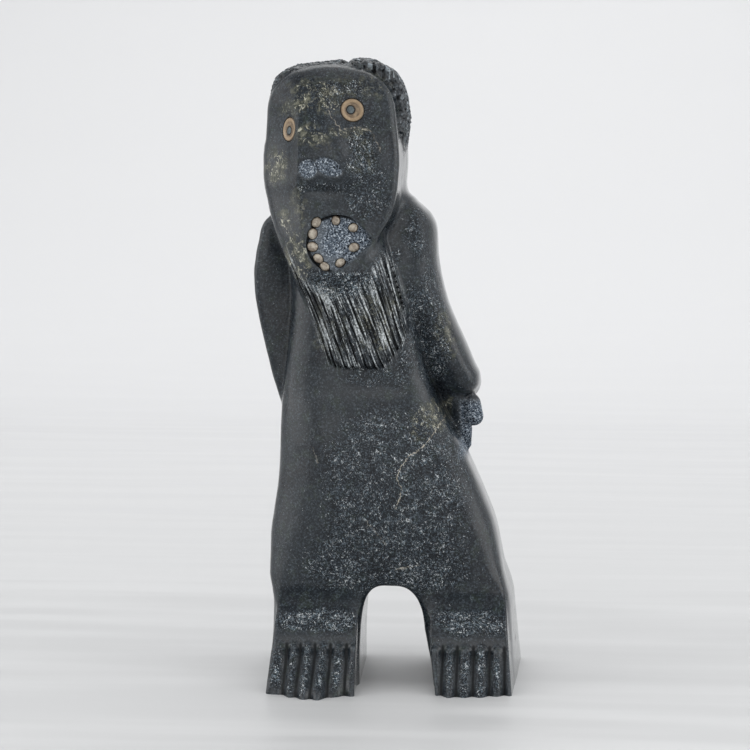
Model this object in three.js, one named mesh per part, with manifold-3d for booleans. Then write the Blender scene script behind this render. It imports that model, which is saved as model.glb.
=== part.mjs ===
// A standing figure carved from one block of dark stone, 34 cm tall, with inlaid eyes and teeth.
// Millimetres, +Z up, the figure looks along -Y; its own left side is the viewer's right, +X.
// The whole carving is one form, a depth below or above the stone's skin at any point of space:
// negative inside the stone, positive in the air. The skin is drawn where it is zero.
import * as THREE from "three";
import { mergeVertices } from "three/addons/utils/BufferGeometryUtils.js";
import Module from "manifold-3d";

const wasm = await Module();
wasm.setup();

// Overall
const CENTRE_X = 0.68; // middle of the plan outline, measured from the arch's own axis
const CENTRE_Y = -11.23;
const GRID = 1.5; // mesh spacing the skin is drawn at before it is thinned
const STONE_TRIANGLES = 5350;
const EVENNESS = 4e-4; // how much the thinning minds long edges
const GAP = 0.3; // between an inlay and its socket

// Trunk and legs: [height, value] down the figure
const TRUNK_LEFT = [[0, -60.5], [41, -60.6], [50, -61.8], [59, -63.3], [77, -63.3], [95, -61.1],
  [108, -59.3], [126, -58.2], [144, -57.4], [160, -56.5], [178, -54], [193, -52.5], [210, -51.5],
  [228, -53], [240, -54], [262, -46]];
const TRUNK_RIGHT = [[0, 69], [30, 69], [48, 67.6], [63, 64.6], [83, 60.8], [103, 53.6], [118, 46.9],
  [127, 42.6], [145, 32.5], [159, 26.5], [169, 22.5], [191, 17.5], [208, 13], [225, 12], [240, 12],
  [262, 8]];
const TRUNK_FRONT = [[0, -30], [46, -29.8], [58, -31.6], [72, -34], [90, -36], [110, -36.5],
  [128, -35.5], [145, -32.5], [160, -28.5], [172, -28], [200, -27.6], [218, -25],
  [235, -21], [262, -15]];
const TRUNK_BACK = [[0, 43], [30, 42], [50, 40], [75, 39], [95, 40.5], [112, 41], [128, 38],
  [150, 32.5], [170, 30], [200, 31], [235, 31.5], [262, 28]];
const TRUNK_SQUARE = [[0, 8], [50, 7], [72, 4.4], [100, 3.4], [130, 3.2], [160, 3.4], [200, 3.4],
  [262, 2.8]];
const SIDE_FACET = [[30, 66], [60, 57], [90, 52.5], [130, 50], [160, 46.5], [200, 45], [240, 46]];
const SHOULDER_TOP = 266;

// Arch between the legs
const ARCH_TOP = 54;
const ARCH_MIDDLE = 3;
const ARCH_LEFT = 16.3;
const ARCH_RIGHT = 21.3;

// Feet: the profile of the front, the grooves between the toes, and how far each toe reaches forward
const FOOT_FRONT = [[0, -47.8], [4, -47.4], [12, -44.8], [20, -41.8], [24, -40.6], [28, -39.6],
  [31, -38.2], [36, -34.8], [41, -31.4], [45, -29.4], [52, -28.6], [60, -28]];
const LEFT_TOES = [-50.6, -43.2, -35.3, -26.9, -18.2];
const RIGHT_TOES = [33.2, 41.0, 49.7, 58.3, 66.2];
const LEFT_REACH = [6.5, 13, 17, 18, 10, 8];
const RIGHT_REACH = [2, 6.5, 5.5, 4.5, 1.5, 0];
const TOE_PROUD = 2.3;
const TOE_TOP = 25.6;
const TOE_GROOVE_WIDTH = 2.2;
const HEEL = 45;

// Arms
const ARM_OUT = [[140, 40], [152, 46], [157, 49.2], [162, 50.8], [166, 50.6], [172, 47.9],
  [182, 43.6], [194, 38.2], [207, 32.7], [219, 29.6], [230, 27.9], [245, 27.1], [254, 24.5],
  [261, 18]];
const ARM_RIDGE = [[150, 44], [163, 46], [173, 40.1], [189, 32.4], [204, 25.4], [220, 19],
  [233, 17.7], [251, 16.6], [262, 14]];
const ARM_RIDGE_DEPTH = [[150, -8], [175, -13], [210, -17], [245, -20], [262, -17]];
const LEFT_OUT = [[140, -53], [151, -58], [159, -60.5], [171, -63.8], [187, -67.4], [200, -70],
  [211, -71.8], [221, -72.2], [230, -71.4], [240, -69.4], [249, -67.6], [253, -65], [256, -60]];

// Head and face
const FACE_LEFT = [[205, -40], [216, -44], [228, -50.5], [239, -55.5], [246.5, -58.3], [255, -61],
  [262, -62.6], [269, -64.6], [276, -65.6], [283, -65.6], [290, -64.9], [294.5, -63.6], [303, -63],
  [313, -62.4], [320, -60], [327, -55]];
const FACE_RIGHT = [[205, -20], [214, -20], [222, -15], [231, -9], [240, -3], [246, 1], [251, 4],
  [256, 6], [262, 7.4], [270, 8.6], [283, 9.4], [292, 8.6], [304, 7.2], [313, 6], [322, 2.6],
  [330, -4]];
const HEAD_BACK = [[205, 0], [230, 20], [255, 30], [300, 35], [330, 32]];
const HEAD_TOP = 332.8;
const CHIN = 214.5;
const RIDGE_X = [[210, -33], [216, -34.5], [228, -37.5], [240, -39.8], [247, -41], [262, -42.1],
  [270, -43], [281, -42.8], [293, -42.6], [304, -43], [313, -45], [330, -48]];
const FACE_DEPTH = [[205, -41], [213, -45], [222, -47.5], [238, -48.5], [258, -47.5], [275, -47],
  [292, -46.5], [304, -45], [315, -43.8], [324, -41.6], [333, -37]];
const NEAR_SLOPE = 0.1; // the near cheek goes back this much per millimetre, and more past the nose
const CHEEK_SLOPE = 0.2;
const FAR_SLOPE = 0.95;
const NOSE_RIGHT = [[262, -17], [275, -14.5], [283, -15.5], [297, -20.5], [309, -27], [320, -32]];
const NOSE_UP = [[259, 0], [266, 0.9], [270, 2.6], [275, 4.3], [281, 4.8], [290, 4.2], [300, 3.2],
  [309, 2], [318, 0.6], [324, 0]];
const NOSTRILS = [[-37.3, 277.8, 4.9, 4.8, 0.0], [-26.6, 278.7, 7.3, 4.3, -0.42]];
const NOSTRIL_DEPTH = 0.9;

// Hair
const HAIR_LEFT = [[240, -54], [262, -59], [300, -60.8], [314, -61], [321, -60.2], [327, -57.6],
  [334, -51.5]];
const HAIR_RIGHT = [[240, 2], [262, 7.2], [280, 9], [287, 9.6], [298, 11.2], [306, 11.8],
  [316, 10.8], [324, 8.6], [331, 4.5], [336, -3]];
const HAIR_BACK = [[240, 30], [262, 35], [290, 38], [320, 37], [336, 30]];
const HAIR_TOP = 338.7;
const CROWN = [-24, 6];
const STROKE_LONG = 10;
const STROKE_WIDE = 6.4;
const STROKE_DEEP = 1.7;

// Beard and mouth
const BEARD_LEFT = [[168, -26], [173.4, -28.2], [182, -32], [194, -36.2], [208.5, -42.6],
  [221, -47.4], [235, -51.5], [242, -54]];
const BEARD_RIGHT = [[168, 1], [173, 3], [177, 5.5], [181, 8.2], [186, 11.2], [193, 12.4],
  [205, 11.4], [224, 6.6], [240, 1.5], [248, 1]];
const BEARD_FRONT = [[168, -34], [176, -36], [195, -39], [208, -42], [214, -44], [222, -46],
  [245, -44]];
const BEARD_LINES = 16;
const BEARD_LINE_DEEP = 1.4;
const BEARD_LINE_HALF = 1.0;
const BEARD_LINE_STATIONS = 6;
const MOUTH_X = -22.8;
const MOUTH_Z = 239.2;
const MOUTH_HALF_TALL = 15;
const MOUTH_HALF_LEFT = 15.4;
const MOUTH_HALF_RIGHT = 20.2;
const MOUTH_FLOOR = -42;
const GUM_LEDGE = 1.5;

// Inlays
const EYE_NEAR = [-15.4, 308.6];
const EYE_FAR = [-48, 298.6];
const EYE_RADIUS = 6.3;
const EYE_THICK = 3;
const EYE_PROUD = 0.6;
const PUPIL_RADIUS = 2.3;
const PUPIL_ASIDE = 0.9; // the hole is drilled off the middle, towards the nose's far side
// Teeth: middle x and z, width, height and turn of the visible end
const TEETH = [
  [-33.5, 249.8, 4.9, 6.2, -25], [-35.3, 243.8, 5.1, 6.0, -10], [-35.3, 237.2, 5.8, 5.2, 0],
  [-32.4, 231.2, 5.9, 4.4, -30], [-29.2, 227.0, 5.7, 4.4, -35], [-21.2, 228.9, 5.6, 4.3, 30],
  [-14.4, 236.8, 5.3, 4.8, 10], [-14.7, 246.9, 4.9, 4.7, 20], [-23.5, 250.6, 4.3, 5.0, 0],
];
const TOOTH_LONG = 8.1;
const TOOTH_SUNK = 0.5; // the tips end this far behind the face

// Shaping helpers: soft joins, ramps and smooth curves through measured heights
const blendMin = (a, b, k) => {
  const h = Math.max(k - Math.abs(a - b), 0) / k;
  return Math.min(a, b) - h * h * k / 4;
};
const blendMax = (a, b, k) => -blendMin(-a, -b, k);
const clamp = (v, low, high) => Math.min(Math.max(v, low), high);
const ramp = (v, low, high) => {
  const t = clamp((v - low) / (high - low), 0, 1);
  return t * t * (3 - 2 * t);
};
const bell = (v, middle, width) => Math.exp(-(((v - middle) / width) ** 2));
const sq = (v) => v * v;

// A smooth curve through [height, value] pairs that never swings past them.
// The last height asked for is remembered, since the skin is drawn layer by layer.
function curve(pairs) {
  const n = pairs.length;
  const h = pairs.map((p) => p[0]);
  const v = pairs.map((p) => p[1]);
  const rise = h.slice(1).map((_, i) => (v[i + 1] - v[i]) / (h[i + 1] - h[i]));
  const slope = h.map((_, i) => {
    if (i === 0) return rise[0];
    if (i === n - 1) return rise[n - 2];
    if (rise[i - 1] * rise[i] <= 0) return 0;
    const below = h[i] - h[i - 1];
    const above = h[i + 1] - h[i];
    const w1 = 2 * above + below;
    const w2 = above + 2 * below;
    return (w1 + w2) / (w1 / rise[i - 1] + w2 / rise[i]);
  });
  let askedFor = NaN;
  let answer = 0;
  return (z) => {
    if (z === askedFor) return answer;
    askedFor = z;
    const at = clamp(z, h[0], h[n - 1]);
    let i = 0;
    while (i < n - 2 && at >= h[i + 1]) i += 1;
    const w = h[i + 1] - h[i];
    const t = (at - h[i]) / w;
    answer = (1 + 2 * t) * sq(1 - t) * v[i] + t * sq(1 - t) * w * slope[i]
      + t * t * (3 - 2 * t) * v[i + 1] + t * t * (t - 1) * w * slope[i + 1];
    return answer;
  };
}

// Radial depth from a rounded rectangle that touches left, right, front and back.
function section(x, y, left, right, front, back, square) {
  const dx = Math.abs(x - (left + right) / 2) + 1e-6;
  const dy = Math.abs(y - (front + back) / 2) + 1e-6;
  const q = ((2 * dx / (right - left)) ** square + (2 * dy / (back - front)) ** square) ** (1 / square);
  return Math.hypot(dx, dy) * (1 - 1 / q);
}

// Depth from a round bar that runs from a to b, its radius going from ra to rb.
function bar(x, y, z, a, b, ra, rb) {
  const dx = b[0] - a[0];
  const dy = b[1] - a[1];
  const dz = b[2] - a[2];
  const along = (x - a[0]) * dx + (y - a[1]) * dy + (z - a[2]) * dz;
  const t = clamp(along / (dx * dx + dy * dy + dz * dz), 0, 1);
  return Math.hypot(x - a[0] - t * dx, y - a[1] - t * dy, z - a[2] - t * dz) - (ra + (rb - ra) * t);
}

const trunkLeft = curve(TRUNK_LEFT);
const trunkRight = curve(TRUNK_RIGHT);
const trunkFront = curve(TRUNK_FRONT);
const trunkBack = curve(TRUNK_BACK);
const trunkSquare = curve(TRUNK_SQUARE);
const sideFacet = curve(SIDE_FACET);

// Belly, chest and hips, with the polished facet down the front of the figure's right side.
function trunk(x, y, z) {
  let f = section(x, y, trunkLeft(z), trunkRight(z), trunkFront(z), trunkBack(z), trunkSquare(z));
  f = blendMax(f, -0.563 * x - 0.826 * y - sideFacet(z), 7);
  return blendMax(f, z - SHOULDER_TOP, 14);
}

// The opening between the legs, squarer on the left.
function arch(x, y, z) {
  const middle = ARCH_MIDDLE - 0.035 * (y + 30);
  const half = x < middle ? ARCH_LEFT : ARCH_RIGHT + 4.2 * ramp(34 - z, 0, 34);
  const q = ((Math.abs(x - middle) / half) ** 3.2 + (Math.max(z, 0) / ARCH_TOP) ** 3.2) ** (1 / 3.2);
  return (q - 1) * 17;
}

const footFront = curve(FOOT_FRONT);

// The reach of the toes at x, from the middle of one toe to the middle of the next.
function reachAt(x, middles, reach) {
  if (x <= middles[0]) return reach[0];
  for (let i = 1; i < middles.length; i += 1) {
    const t = (x - middles[i - 1]) / (middles[i] - middles[i - 1]);
    if (t < 1) return reach[i - 1] + (reach[i] - reach[i - 1]) * t;
  }
  return reach[reach.length - 1];
}

// Depth of a foot's front: instep and toes, which reach forward as they come to the floor. The toes
// stand proud between filed grooves, and each has a rounded top.
function footFace(x, z, toes, reach) {
  const edges = [toes[0] - 8, ...toes, toes[toes.length - 1] + 7];
  const middles = edges.slice(1).map((e, i) => (e + edges[i]) / 2);
  const centre = edges.reduce((s, e) => s + e, 0) / edges.length;
  const depth = footFront(z) - reachAt(x, middles, reach) * sq(ramp(26 - z, 0, 26));
  const cut = Math.max(...toes.map((t) => bell(x, t + 0.012 * (t - centre) * (15 - z) / 15, TOE_GROOVE_WIDTH)));
  let i = 0;
  while (i < middles.length - 1 && x > edges[i + 1]) i += 1;
  const u = Math.min(Math.abs(x - middles[i]) / (edges[i + 1] - middles[i]), 1);
  return depth - TOE_PROUD * (1 - cut) * ramp(TOE_TOP - z - 2.6 * u * u, 0, 3);
}

function feet(x, y, z) {
  let left = footFace(x, z, LEFT_TOES, LEFT_REACH) - y;
  left = blendMax(left, -58.4 - 0.05 * y - 0.1 * Math.max(46 - z, 0) - x, 2.5);
  left = blendMax(left, x - (-12.6 - 0.045 * (y + 45)), 2.5);
  let right = footFace(x, z, RIGHT_TOES, RIGHT_REACH) - y;
  right = blendMax(right, x - (70.4 + 0.036 * (y + 45)) + 0.095 * z, 2.5);
  right = blendMax(right, 29.6 - 0.13 * Math.min(z, 30) - x, 2.5);
  const f = blendMax(Math.min(left, right), y - HEEL + 0.07 * z, 3);
  return blendMax(f, z - 62, 22);
}

const armOut = curve(ARM_OUT);
const armRidge = curve(ARM_RIDGE);
const armRidgeDepth = curve(ARM_RIDGE_DEPTH);
const armBack = curve([[150, 26], [200, 26], [262, 22]]);
const leftOut = curve(LEFT_OUT);

// Upper arm and elbow on the viewer's right: two facets that meet in a ridge.
function rightArm(x, y, z) {
  const dx = x - armRidge(z);
  const dy = y - armRidgeDepth(z);
  let f = blendMax(0.8 * dx - 0.6 * dy, -0.42 * dx - 0.91 * dy, 10);
  f = blendMax(f, x - armOut(z), 9);
  f = blendMax(f, y - armBack(z), 12);
  f = blendMax(f, z - (262.5 - 0.02 * sq(Math.max(x - 8, 0))), 8);
  f = blendMax(f, 153.5 + 0.25 * (51 - x) - z, 7);
  return Math.max(f, -x - 15);
}

// The other arm, set back behind the rim of the chest.
function leftArm(x, y, z) {
  let f = blendMax(leftOut(z) - x, -10 + 0.35 * (x + 60) - y, 7);
  f = blendMax(f, y - 26, 14);
  f = blendMax(f, z - (257 - 0.05 * sq(Math.max(-58 - x, 0))), 8);
  return Math.max(f, x + 30);
}

// Forearms folded behind the hips, with the fingers lying on the back.
function hands(x, y, z) {
  let f = bar(x, y, z, [36, 7, 162], [40.5, 12, 131], 10, 4.5);
  f = blendMin(f, bar(x, y, z, [40, 16, 160], [33, 25, 146], 10, 7.5), 5);
  f = blendMin(f, bar(x, y, z, [45.6, 6.5, 150], [47.4, 7.5, 142.8], 5.6, 5.3), 0.8);
  f = blendMin(f, bar(x, y, z, [42.4, 7, 135.5], [43.8, 9, 127.2], 4.3, 2.4), 0.8);
  let g = bar(x, y, z, [-52, 12, 166], [-44, 25, 147], 9.5, 7.5);
  for (let k = 0; k < 4; k += 1) {
    const a = [37 - 6.6 * k, 23 + 2.6 * k, 148 + 0.8 * k];
    const b = [a[0] - 1.5 - k, a[1] + 6.5 + 0.3 * k, 124 + 1.5 * k];
    f = blendMin(f, bar(x, y, z, a, b, 4.5, 3.4), 1.2);
    const c = [-50 + 6.6 * k, 21 + 3 * k, 149 + 0.8 * k];
    const d = [c[0] + 1.5 + k, c[1] + 6.5 + 0.3 * k, 125 + 1.5 * k];
    g = blendMin(g, bar(x, y, z, c, d, 4.5, 3.4), 1.2);
  }
  return Math.min(f, g);
}

const ridgeX = curve(RIDGE_X);
const faceDepth = curve(FACE_DEPTH);
const noseRight = curve(NOSE_RIGHT);
const noseUp = curve(NOSE_UP);
const faceLeft = curve(FACE_LEFT);
const faceRight = curve(FACE_RIGHT);
const headBack = curve(HEAD_BACK);

// Depth of the face's near plane: flat nose, cheek beside it, eye hollow, fold and wrinkle.
function nearPlane(x, z) {
  const nose = noseRight(z);
  const past = clamp((x - nose + 6) / 4, -30, 30);
  let y = faceDepth(z) + NEAR_SLOPE * (x - ridgeX(z)) - noseUp(z) * (1 - ramp(x, nose - 8, nose + 7));
  y += CHEEK_SLOPE * 4 * Math.log1p(Math.exp(past));
  y += 1.5 * Math.exp(-((sq((x + 14.5) / 12) + sq((z - 309) / 10)) ** 1.5));
  y -= 0.4 * bell(z - (296.5 - 0.012 * sq(x + 14)), 0, 3) * ramp(x, -24, -13) * ramp(-x, -2, 8);
  return y + 0.9 * bell(z, 266.5, 2) * bell(x, -30, 8);
}

// Depth of the far plane, which falls away from the nose's ridge.
function farPlane(x, z) {
  const past = Math.max(ridgeX(z) - x, 0);
  const y = faceDepth(z) + FAR_SLOPE * (ridgeX(z) - x) - noseUp(z) * Math.exp(-past / 3.5);
  return y + Math.exp(-((sq((x + 50) / 6) + sq((z - 299) / 9.5)) ** 1.5));
}

function head(x, y, z) {
  const flare = 0.065 * clamp(y + 28, 0, 30);
  let f = section(x, y, faceLeft(z), faceRight(z) + flare, -75, headBack(z), 6);
  const front = blendMax((nearPlane(x, z) - y) / 1.03, (farPlane(x, z) - y) / Math.hypot(1, FAR_SLOPE),
    2.2 + 14 * ramp(z, 300, 324));
  f = blendMax(f, front, 4.5);
  const top = (Math.abs(x + 27) / 41) ** 2.2 + (Math.max(z - 300, 0) / (HEAD_TOP - 300)) ** 2.2;
  f = blendMax(f, (top ** (1 / 2.2) - 1) * 32, 5);
  return blendMax(f, CHIN + 0.1 * (x + 30) - z, 6);
}

const hairLeft = curve(HAIR_LEFT);
const hairRight = curve(HAIR_RIGHT);
const hairBack = curve(HAIR_BACK);

// Rows of short gouge strokes that run down from the crown: 1 in the bed of a stroke, 0 on its edge.
function stroke(x, y, z) {
  const dx = x - CROWN[0];
  const dy = y - CROWN[1];
  const away = Math.hypot(dx, dy) + 1.15 * Math.max(326 - z, 0);
  const row = Math.floor(away / STROKE_LONG);
  const along = away / STROKE_LONG - row;
  const turn = (Math.atan2(dy, dx) + 0.006 * away) / (2 * Math.PI) + 0.37 * row;
  const count = clamp(Math.round(2 * Math.PI * (row + 0.6) * STROKE_LONG / STROKE_WIDE), 5, 46);
  const part = turn * count;
  const across = Math.abs(part - Math.floor(part) - 0.5) * 2;
  return (1 - across * across) * (1 - 0.65 * along);
}

function hair(x, y, z) {
  let f = section(x, y, hairLeft(z), hairRight(z), -44, hairBack(z), 4.6);
  f = blendMax(f, z - (HAIR_TOP - 0.1 * Math.abs(x + 14) - 0.0045 * sq(y - 2)), 6);
  const front = -29.5 + 0.1 * (x + 28) + 0.006 * sq(x + 28) - y + 0.12 * Math.max(300 - z, 0);
  f = blendMax(f, front, 3);
  f = blendMax(f, Math.max(281.5 - 0.9 * Math.max(y - 3, 0), 252) - z, 3);
  if (f < -6 || f > 6) return f;
  f += STROKE_DEEP * stroke(x, y, z) * ramp(-f, -3, 0.5) - 0.6;
  return f + 2.2 * bell(x, -20.5, 1.8) * ramp(z, 322, 334) * ramp(-y, -25, -5);
}

const beardLeft = curve(BEARD_LEFT);
const beardRight = curve(BEARD_RIGHT);
const beardFront = curve(BEARD_FRONT);
const beardHem = (x) => 172.2 + 0.016 * sq(Math.max(x + 6, 0)) + 0.006 * sq(Math.max(-14 - x, 0));

function beard(x, y, z) {
  let f = section(x, y, beardLeft(z), beardRight(z), beardFront(z), 10, 2.7);
  f = blendMax(f, beardHem(x) - z, 3);
  return blendMax(f, z - 246, 10);
}

// Flat distance from the mouth's outline: round, drawn out to a corner on the right.
function mouthEdge(x, z) {
  const dx = x - MOUTH_X;
  const dz = z - MOUTH_Z;
  const half = dx > 0 ? MOUTH_HALF_RIGHT : MOUTH_HALF_LEFT;
  const round = (Math.hypot((dx + 0.4) / half, (dz + 0.5) / MOUTH_HALF_TALL) - 1) * 15;
  return blendMax(blendMax(round, 0.66 * dx - 0.75 * dz - 12.3, 3), 0.75 * dx + 0.66 * dz - 15.4, 3);
}

// The open mouth: a sunk floor with a ledge along its left side.
function mouth(x, y, z) {
  const e = mouthEdge(x, z);
  const side = ramp(MOUTH_X - 1.5 - x - 0.5 * (z - MOUTH_Z), -5, 4);
  const floor = MOUTH_FLOOR + 0.12 * (x - MOUTH_X) - GUM_LEDGE * ramp(e, -9.5, -6) * side;
  return blendMax(e, y - floor, 1.2);
}

// The whole stone. It goes on below the floor here, and is cut off flat later.
function stone(x, y, z) {
  const hole = arch(x, y, z);
  let f = blendMax(trunk(x, y, z), -hole, 5);
  if (z < 75) f = blendMin(f, blendMax(feet(x, y, z), -hole, 1.5), 5);
  if (z > 120) {
    f = blendMin(f, leftArm(x, y, z), 1.5);
    f = blendMin(f, rightArm(x, y, z), 2 + 14 * ramp(z, 188, 214));
    if (z < 190) f = blendMin(f, hands(x, y, z), 3);
  }
  if (z > 150) {
    f = blendMin(f, beard(x, y, z), 2.5);
    f = blendMin(f, blendMin(head(x, y, z), hair(x, y, z), 1.2), 5);
    f = blendMax(f, -mouth(x, y, z), 0.8);
  }
  return Math.max(f, -5 - z);
}

// The skin of a form inside a box: each small cube is split into six tetrahedra that share its
// long diagonal, and each of those is crossed by one or two triangles.
function skin(form, low, high, step) {
  const n = [0, 1, 2].map((i) => Math.ceil((high[i] - low[i]) / step) + 1);
  const value = new Float32Array(n[0] * n[1] * n[2]);
  const at = (i, j, k) => (k * n[1] + j) * n[0] + i;
  for (let k = 0; k < n[2]; k += 1) {
    for (let j = 0; j < n[1]; j += 1) {
      for (let i = 0; i < n[0]; i += 1) {
        const v = form(low[0] + i * step, low[1] + j * step, low[2] + k * step);
        value[at(i, j, k)] = Math.abs(v) < 1e-4 ? 1e-4 : v;
      }
    }
  }
  const paths = [[1, 3], [1, 5], [2, 3], [2, 6], [4, 5], [4, 6]];
  const known = new Int32Array(value.length * 8).fill(-1);
  const points = [];
  const faces = [];
  const place = (c, corner) => c.map((v, axis) => low[axis] + (v + ((corner >> axis) & 1)) * step);
  for (let k = 0; k < n[2] - 1; k += 1) {
    for (let j = 0; j < n[1] - 1; j += 1) {
      for (let i = 0; i < n[0] - 1; i += 1) {
        const v = [];
        for (let c = 0; c < 8; c += 1) v.push(value[at(i + (c & 1), j + ((c >> 1) & 1), k + (c >> 2))]);
        const inside = v.filter((q) => q < 0).length;
        if (inside === 0 || inside === 8) continue;
        const cell = [i, j, k];
        const cross = (a, b) => {
          const [from, to] = a < b ? [a, b] : [b, a];
          const key = at(i + (from & 1), j + ((from >> 1) & 1), k + (from >> 2)) * 8 + (to - from);
          if (known[key] < 0) {
            const t = clamp(v[from] / (v[from] - v[to]), 0.03, 0.97);
            const p = place(cell, from);
            const q = place(cell, to);
            known[key] = points.length / 3;
            points.push(p[0] + t * (q[0] - p[0]), p[1] + t * (q[1] - p[1]), p[2] + t * (q[2] - p[2]));
          }
          return known[key];
        };
        const face = (a, b, c, out) => {
          const [p, q, r] = [a, b, c].map((s) => new THREE.Vector3().fromArray(points, 3 * s));
          const up = q.sub(p).cross(r.sub(p));
          if (up.dot(out) > 0) faces.push(a, b, c);
          else faces.push(a, c, b);
        };
        paths.forEach((path) => {
          const tet = [0, path[0], path[1], 7];
          const ins = tet.filter((c) => v[c] < 0);
          const outs = tet.filter((c) => v[c] >= 0);
          if (!ins.length || !outs.length) return;
          const mean = (set) => set.reduce((s, c) => s.add(new THREE.Vector3(c & 1, (c >> 1) & 1, c >> 2)),
            new THREE.Vector3()).divideScalar(set.length);
          const out = mean(outs).sub(mean(ins));
          if (ins.length === 1) face(...outs.map((o) => cross(ins[0], o)), out);
          else if (outs.length === 1) face(...ins.map((o) => cross(outs[0], o)), out);
          else {
            const q = [cross(ins[0], outs[0]), cross(ins[0], outs[1]), cross(ins[1], outs[1]), cross(ins[1], outs[0])];
            face(q[0], q[1], q[2], out);
            face(q[0], q[2], q[3], out);
          }
        });
      }
    }
  }
  return { points, faces };
}

// The largest connected piece of a mesh.
function largest({ points, faces }) {
  const parent = Int32Array.from({ length: points.length / 3 }, (_, i) => i);
  const root = (i) => {
    while (parent[i] !== i) {
      parent[i] = parent[parent[i]];
      i = parent[i];
    }
    return i;
  };
  for (let f = 0; f < faces.length; f += 3) {
    parent[root(faces[f])] = root(faces[f + 1]);
    parent[root(faces[f + 1])] = root(faces[f + 2]);
  }
  const size = new Map();
  for (let f = 0; f < faces.length; f += 3) size.set(root(faces[f]), (size.get(root(faces[f])) ?? 0) + 1);
  const best = [...size].sort((a, b) => b[1] - a[1])[0][0];
  const kept = [];
  for (let f = 0; f < faces.length; f += 3) {
    if (root(faces[f]) === best) kept.push(faces[f], faces[f + 1], faces[f + 2]);
  }
  return { points, faces: kept };
}

// Thins a closed mesh to a number of triangles: the edge whose loss moves the skin least goes first,
// and an edge stays where losing it would fold a triangle over or pinch the mesh.
function thin({ points, faces }, wanted) {
  const count = points.length / 3;
  const P = Float64Array.from(points);
  const F = Int32Array.from(faces);
  const Q = new Float64Array(count * 10);
  const ring = Array.from({ length: count }, () => []);
  const alive = new Uint8Array(F.length / 3).fill(1);
  const stamp = new Int32Array(count);
  const normal = (a, b, c) => {
    const ux = P[3 * b] - P[3 * a];
    const uy = P[3 * b + 1] - P[3 * a + 1];
    const uz = P[3 * b + 2] - P[3 * a + 2];
    const vx = P[3 * c] - P[3 * a];
    const vy = P[3 * c + 1] - P[3 * a + 1];
    const vz = P[3 * c + 2] - P[3 * a + 2];
    return [uy * vz - uz * vy, uz * vx - ux * vz, ux * vy - uy * vx];
  };
  for (let f = 0; f < F.length / 3; f += 1) {
    const t = [F[3 * f], F[3 * f + 1], F[3 * f + 2]];
    const n = normal(...t);
    const area = Math.hypot(...n) + 1e-12;
    const [a, b, c] = n.map((v) => v / area);
    const d = -(a * P[3 * t[0]] + b * P[3 * t[0] + 1] + c * P[3 * t[0] + 2]);
    const q = [a * a, a * b, a * c, a * d, b * b, b * c, b * d, c * c, c * d, d * d];
    t.forEach((s) => {
      ring[s].push(f);
      q.forEach((v, i) => { Q[10 * s + i] += v * area; });
    });
  }
  const sum = new Float64Array(10);
  const cost = (x, y, z) => sum[0] * x * x + 2 * sum[1] * x * y + 2 * sum[2] * x * z + 2 * sum[3] * x
    + sum[4] * y * y + 2 * sum[5] * y * z + 2 * sum[6] * y + sum[7] * z * z + 2 * sum[8] * z + sum[9];
  const target = [0, 0, 0];
  const plan = (u, v) => {
    for (let i = 0; i < 10; i += 1) sum[i] = Q[10 * u + i] + Q[10 * v + i];
    const [a, b, c, d, e, f, g, h, i] = sum;
    const c0 = e * h - f * f;
    const c1 = c * f - b * h;
    const c2 = b * f - c * e;
    const det = a * c0 + b * c1 + c * c2;
    const middle = [0, 1, 2].map((axis) => (P[3 * u + axis] + P[3 * v + axis]) / 2);
    const reach = Math.hypot(P[3 * u] - P[3 * v], P[3 * u + 1] - P[3 * v + 1], P[3 * u + 2] - P[3 * v + 2]);
    const scale = (a + e + h) ** 3;
    if (det > 1e-5 * scale) {
      target[0] = -(d * c0 + g * c1 + i * c2) / det;
      target[1] = -(d * c1 + g * (a * h - c * c) + i * (b * c - a * f)) / det;
      target[2] = -(d * c2 + g * (b * c - a * f) + i * (a * e - b * b)) / det;
      const off = Math.hypot(target[0] - middle[0], target[1] - middle[1], target[2] - middle[2]);
      if (off < 1.5 * reach) return Math.max(cost(...target), 0) + EVENNESS * reach * reach;
    }
    let best = Infinity;
    [middle, [P[3 * u], P[3 * u + 1], P[3 * u + 2]], [P[3 * v], P[3 * v + 1], P[3 * v + 2]]].forEach((p) => {
      const value = cost(...p);
      if (value < best) {
        best = value;
        target[0] = p[0];
        target[1] = p[1];
        target[2] = p[2];
      }
    });
    return Math.max(best, 0) + EVENNESS * reach * reach;
  };
  const heap = [];
  const push = (item) => {
    let i = heap.length;
    heap.push(item);
    while (i > 0) {
      const up = (i - 1) >> 1;
      if (heap[up][0] <= item[0]) break;
      heap[i] = heap[up];
      i = up;
    }
    heap[i] = item;
  };
  const pop = () => {
    const top = heap[0];
    const last = heap.pop();
    if (heap.length) {
      let i = 0;
      for (;;) {
        let down = 2 * i + 1;
        if (down >= heap.length) break;
        if (down + 1 < heap.length && heap[down + 1][0] < heap[down][0]) down += 1;
        if (heap[down][0] >= last[0]) break;
        heap[i] = heap[down];
        i = down;
      }
      heap[i] = last;
    }
    return top;
  };
  const neighbours = (u) => {
    const set = new Set();
    ring[u].forEach((f) => {
      for (let i = 0; i < 3; i += 1) if (F[3 * f + i] !== u) set.add(F[3 * f + i]);
    });
    return set;
  };
  const offer = (u, v) => push([plan(u, v), u, v, stamp[u], stamp[v]]);
  const offerAll = () => {
    for (let f = 0; f < F.length / 3; f += 1) {
      for (let i = 0; i < 3 && alive[f]; i += 1) {
        const u = F[3 * f + i];
        const v = F[3 * f + (i + 1) % 3];
        if (u < v) offer(u, v);
      }
    }
  };
  const longest = (t) => Math.max(...t.map((s, i) => {
    const a = 3 * s;
    const b = 3 * t[(i + 1) % 3];
    return sq(P[a] - P[b]) + sq(P[a + 1] - P[b + 1]) + sq(P[a + 2] - P[b + 2]);
  }));
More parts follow.
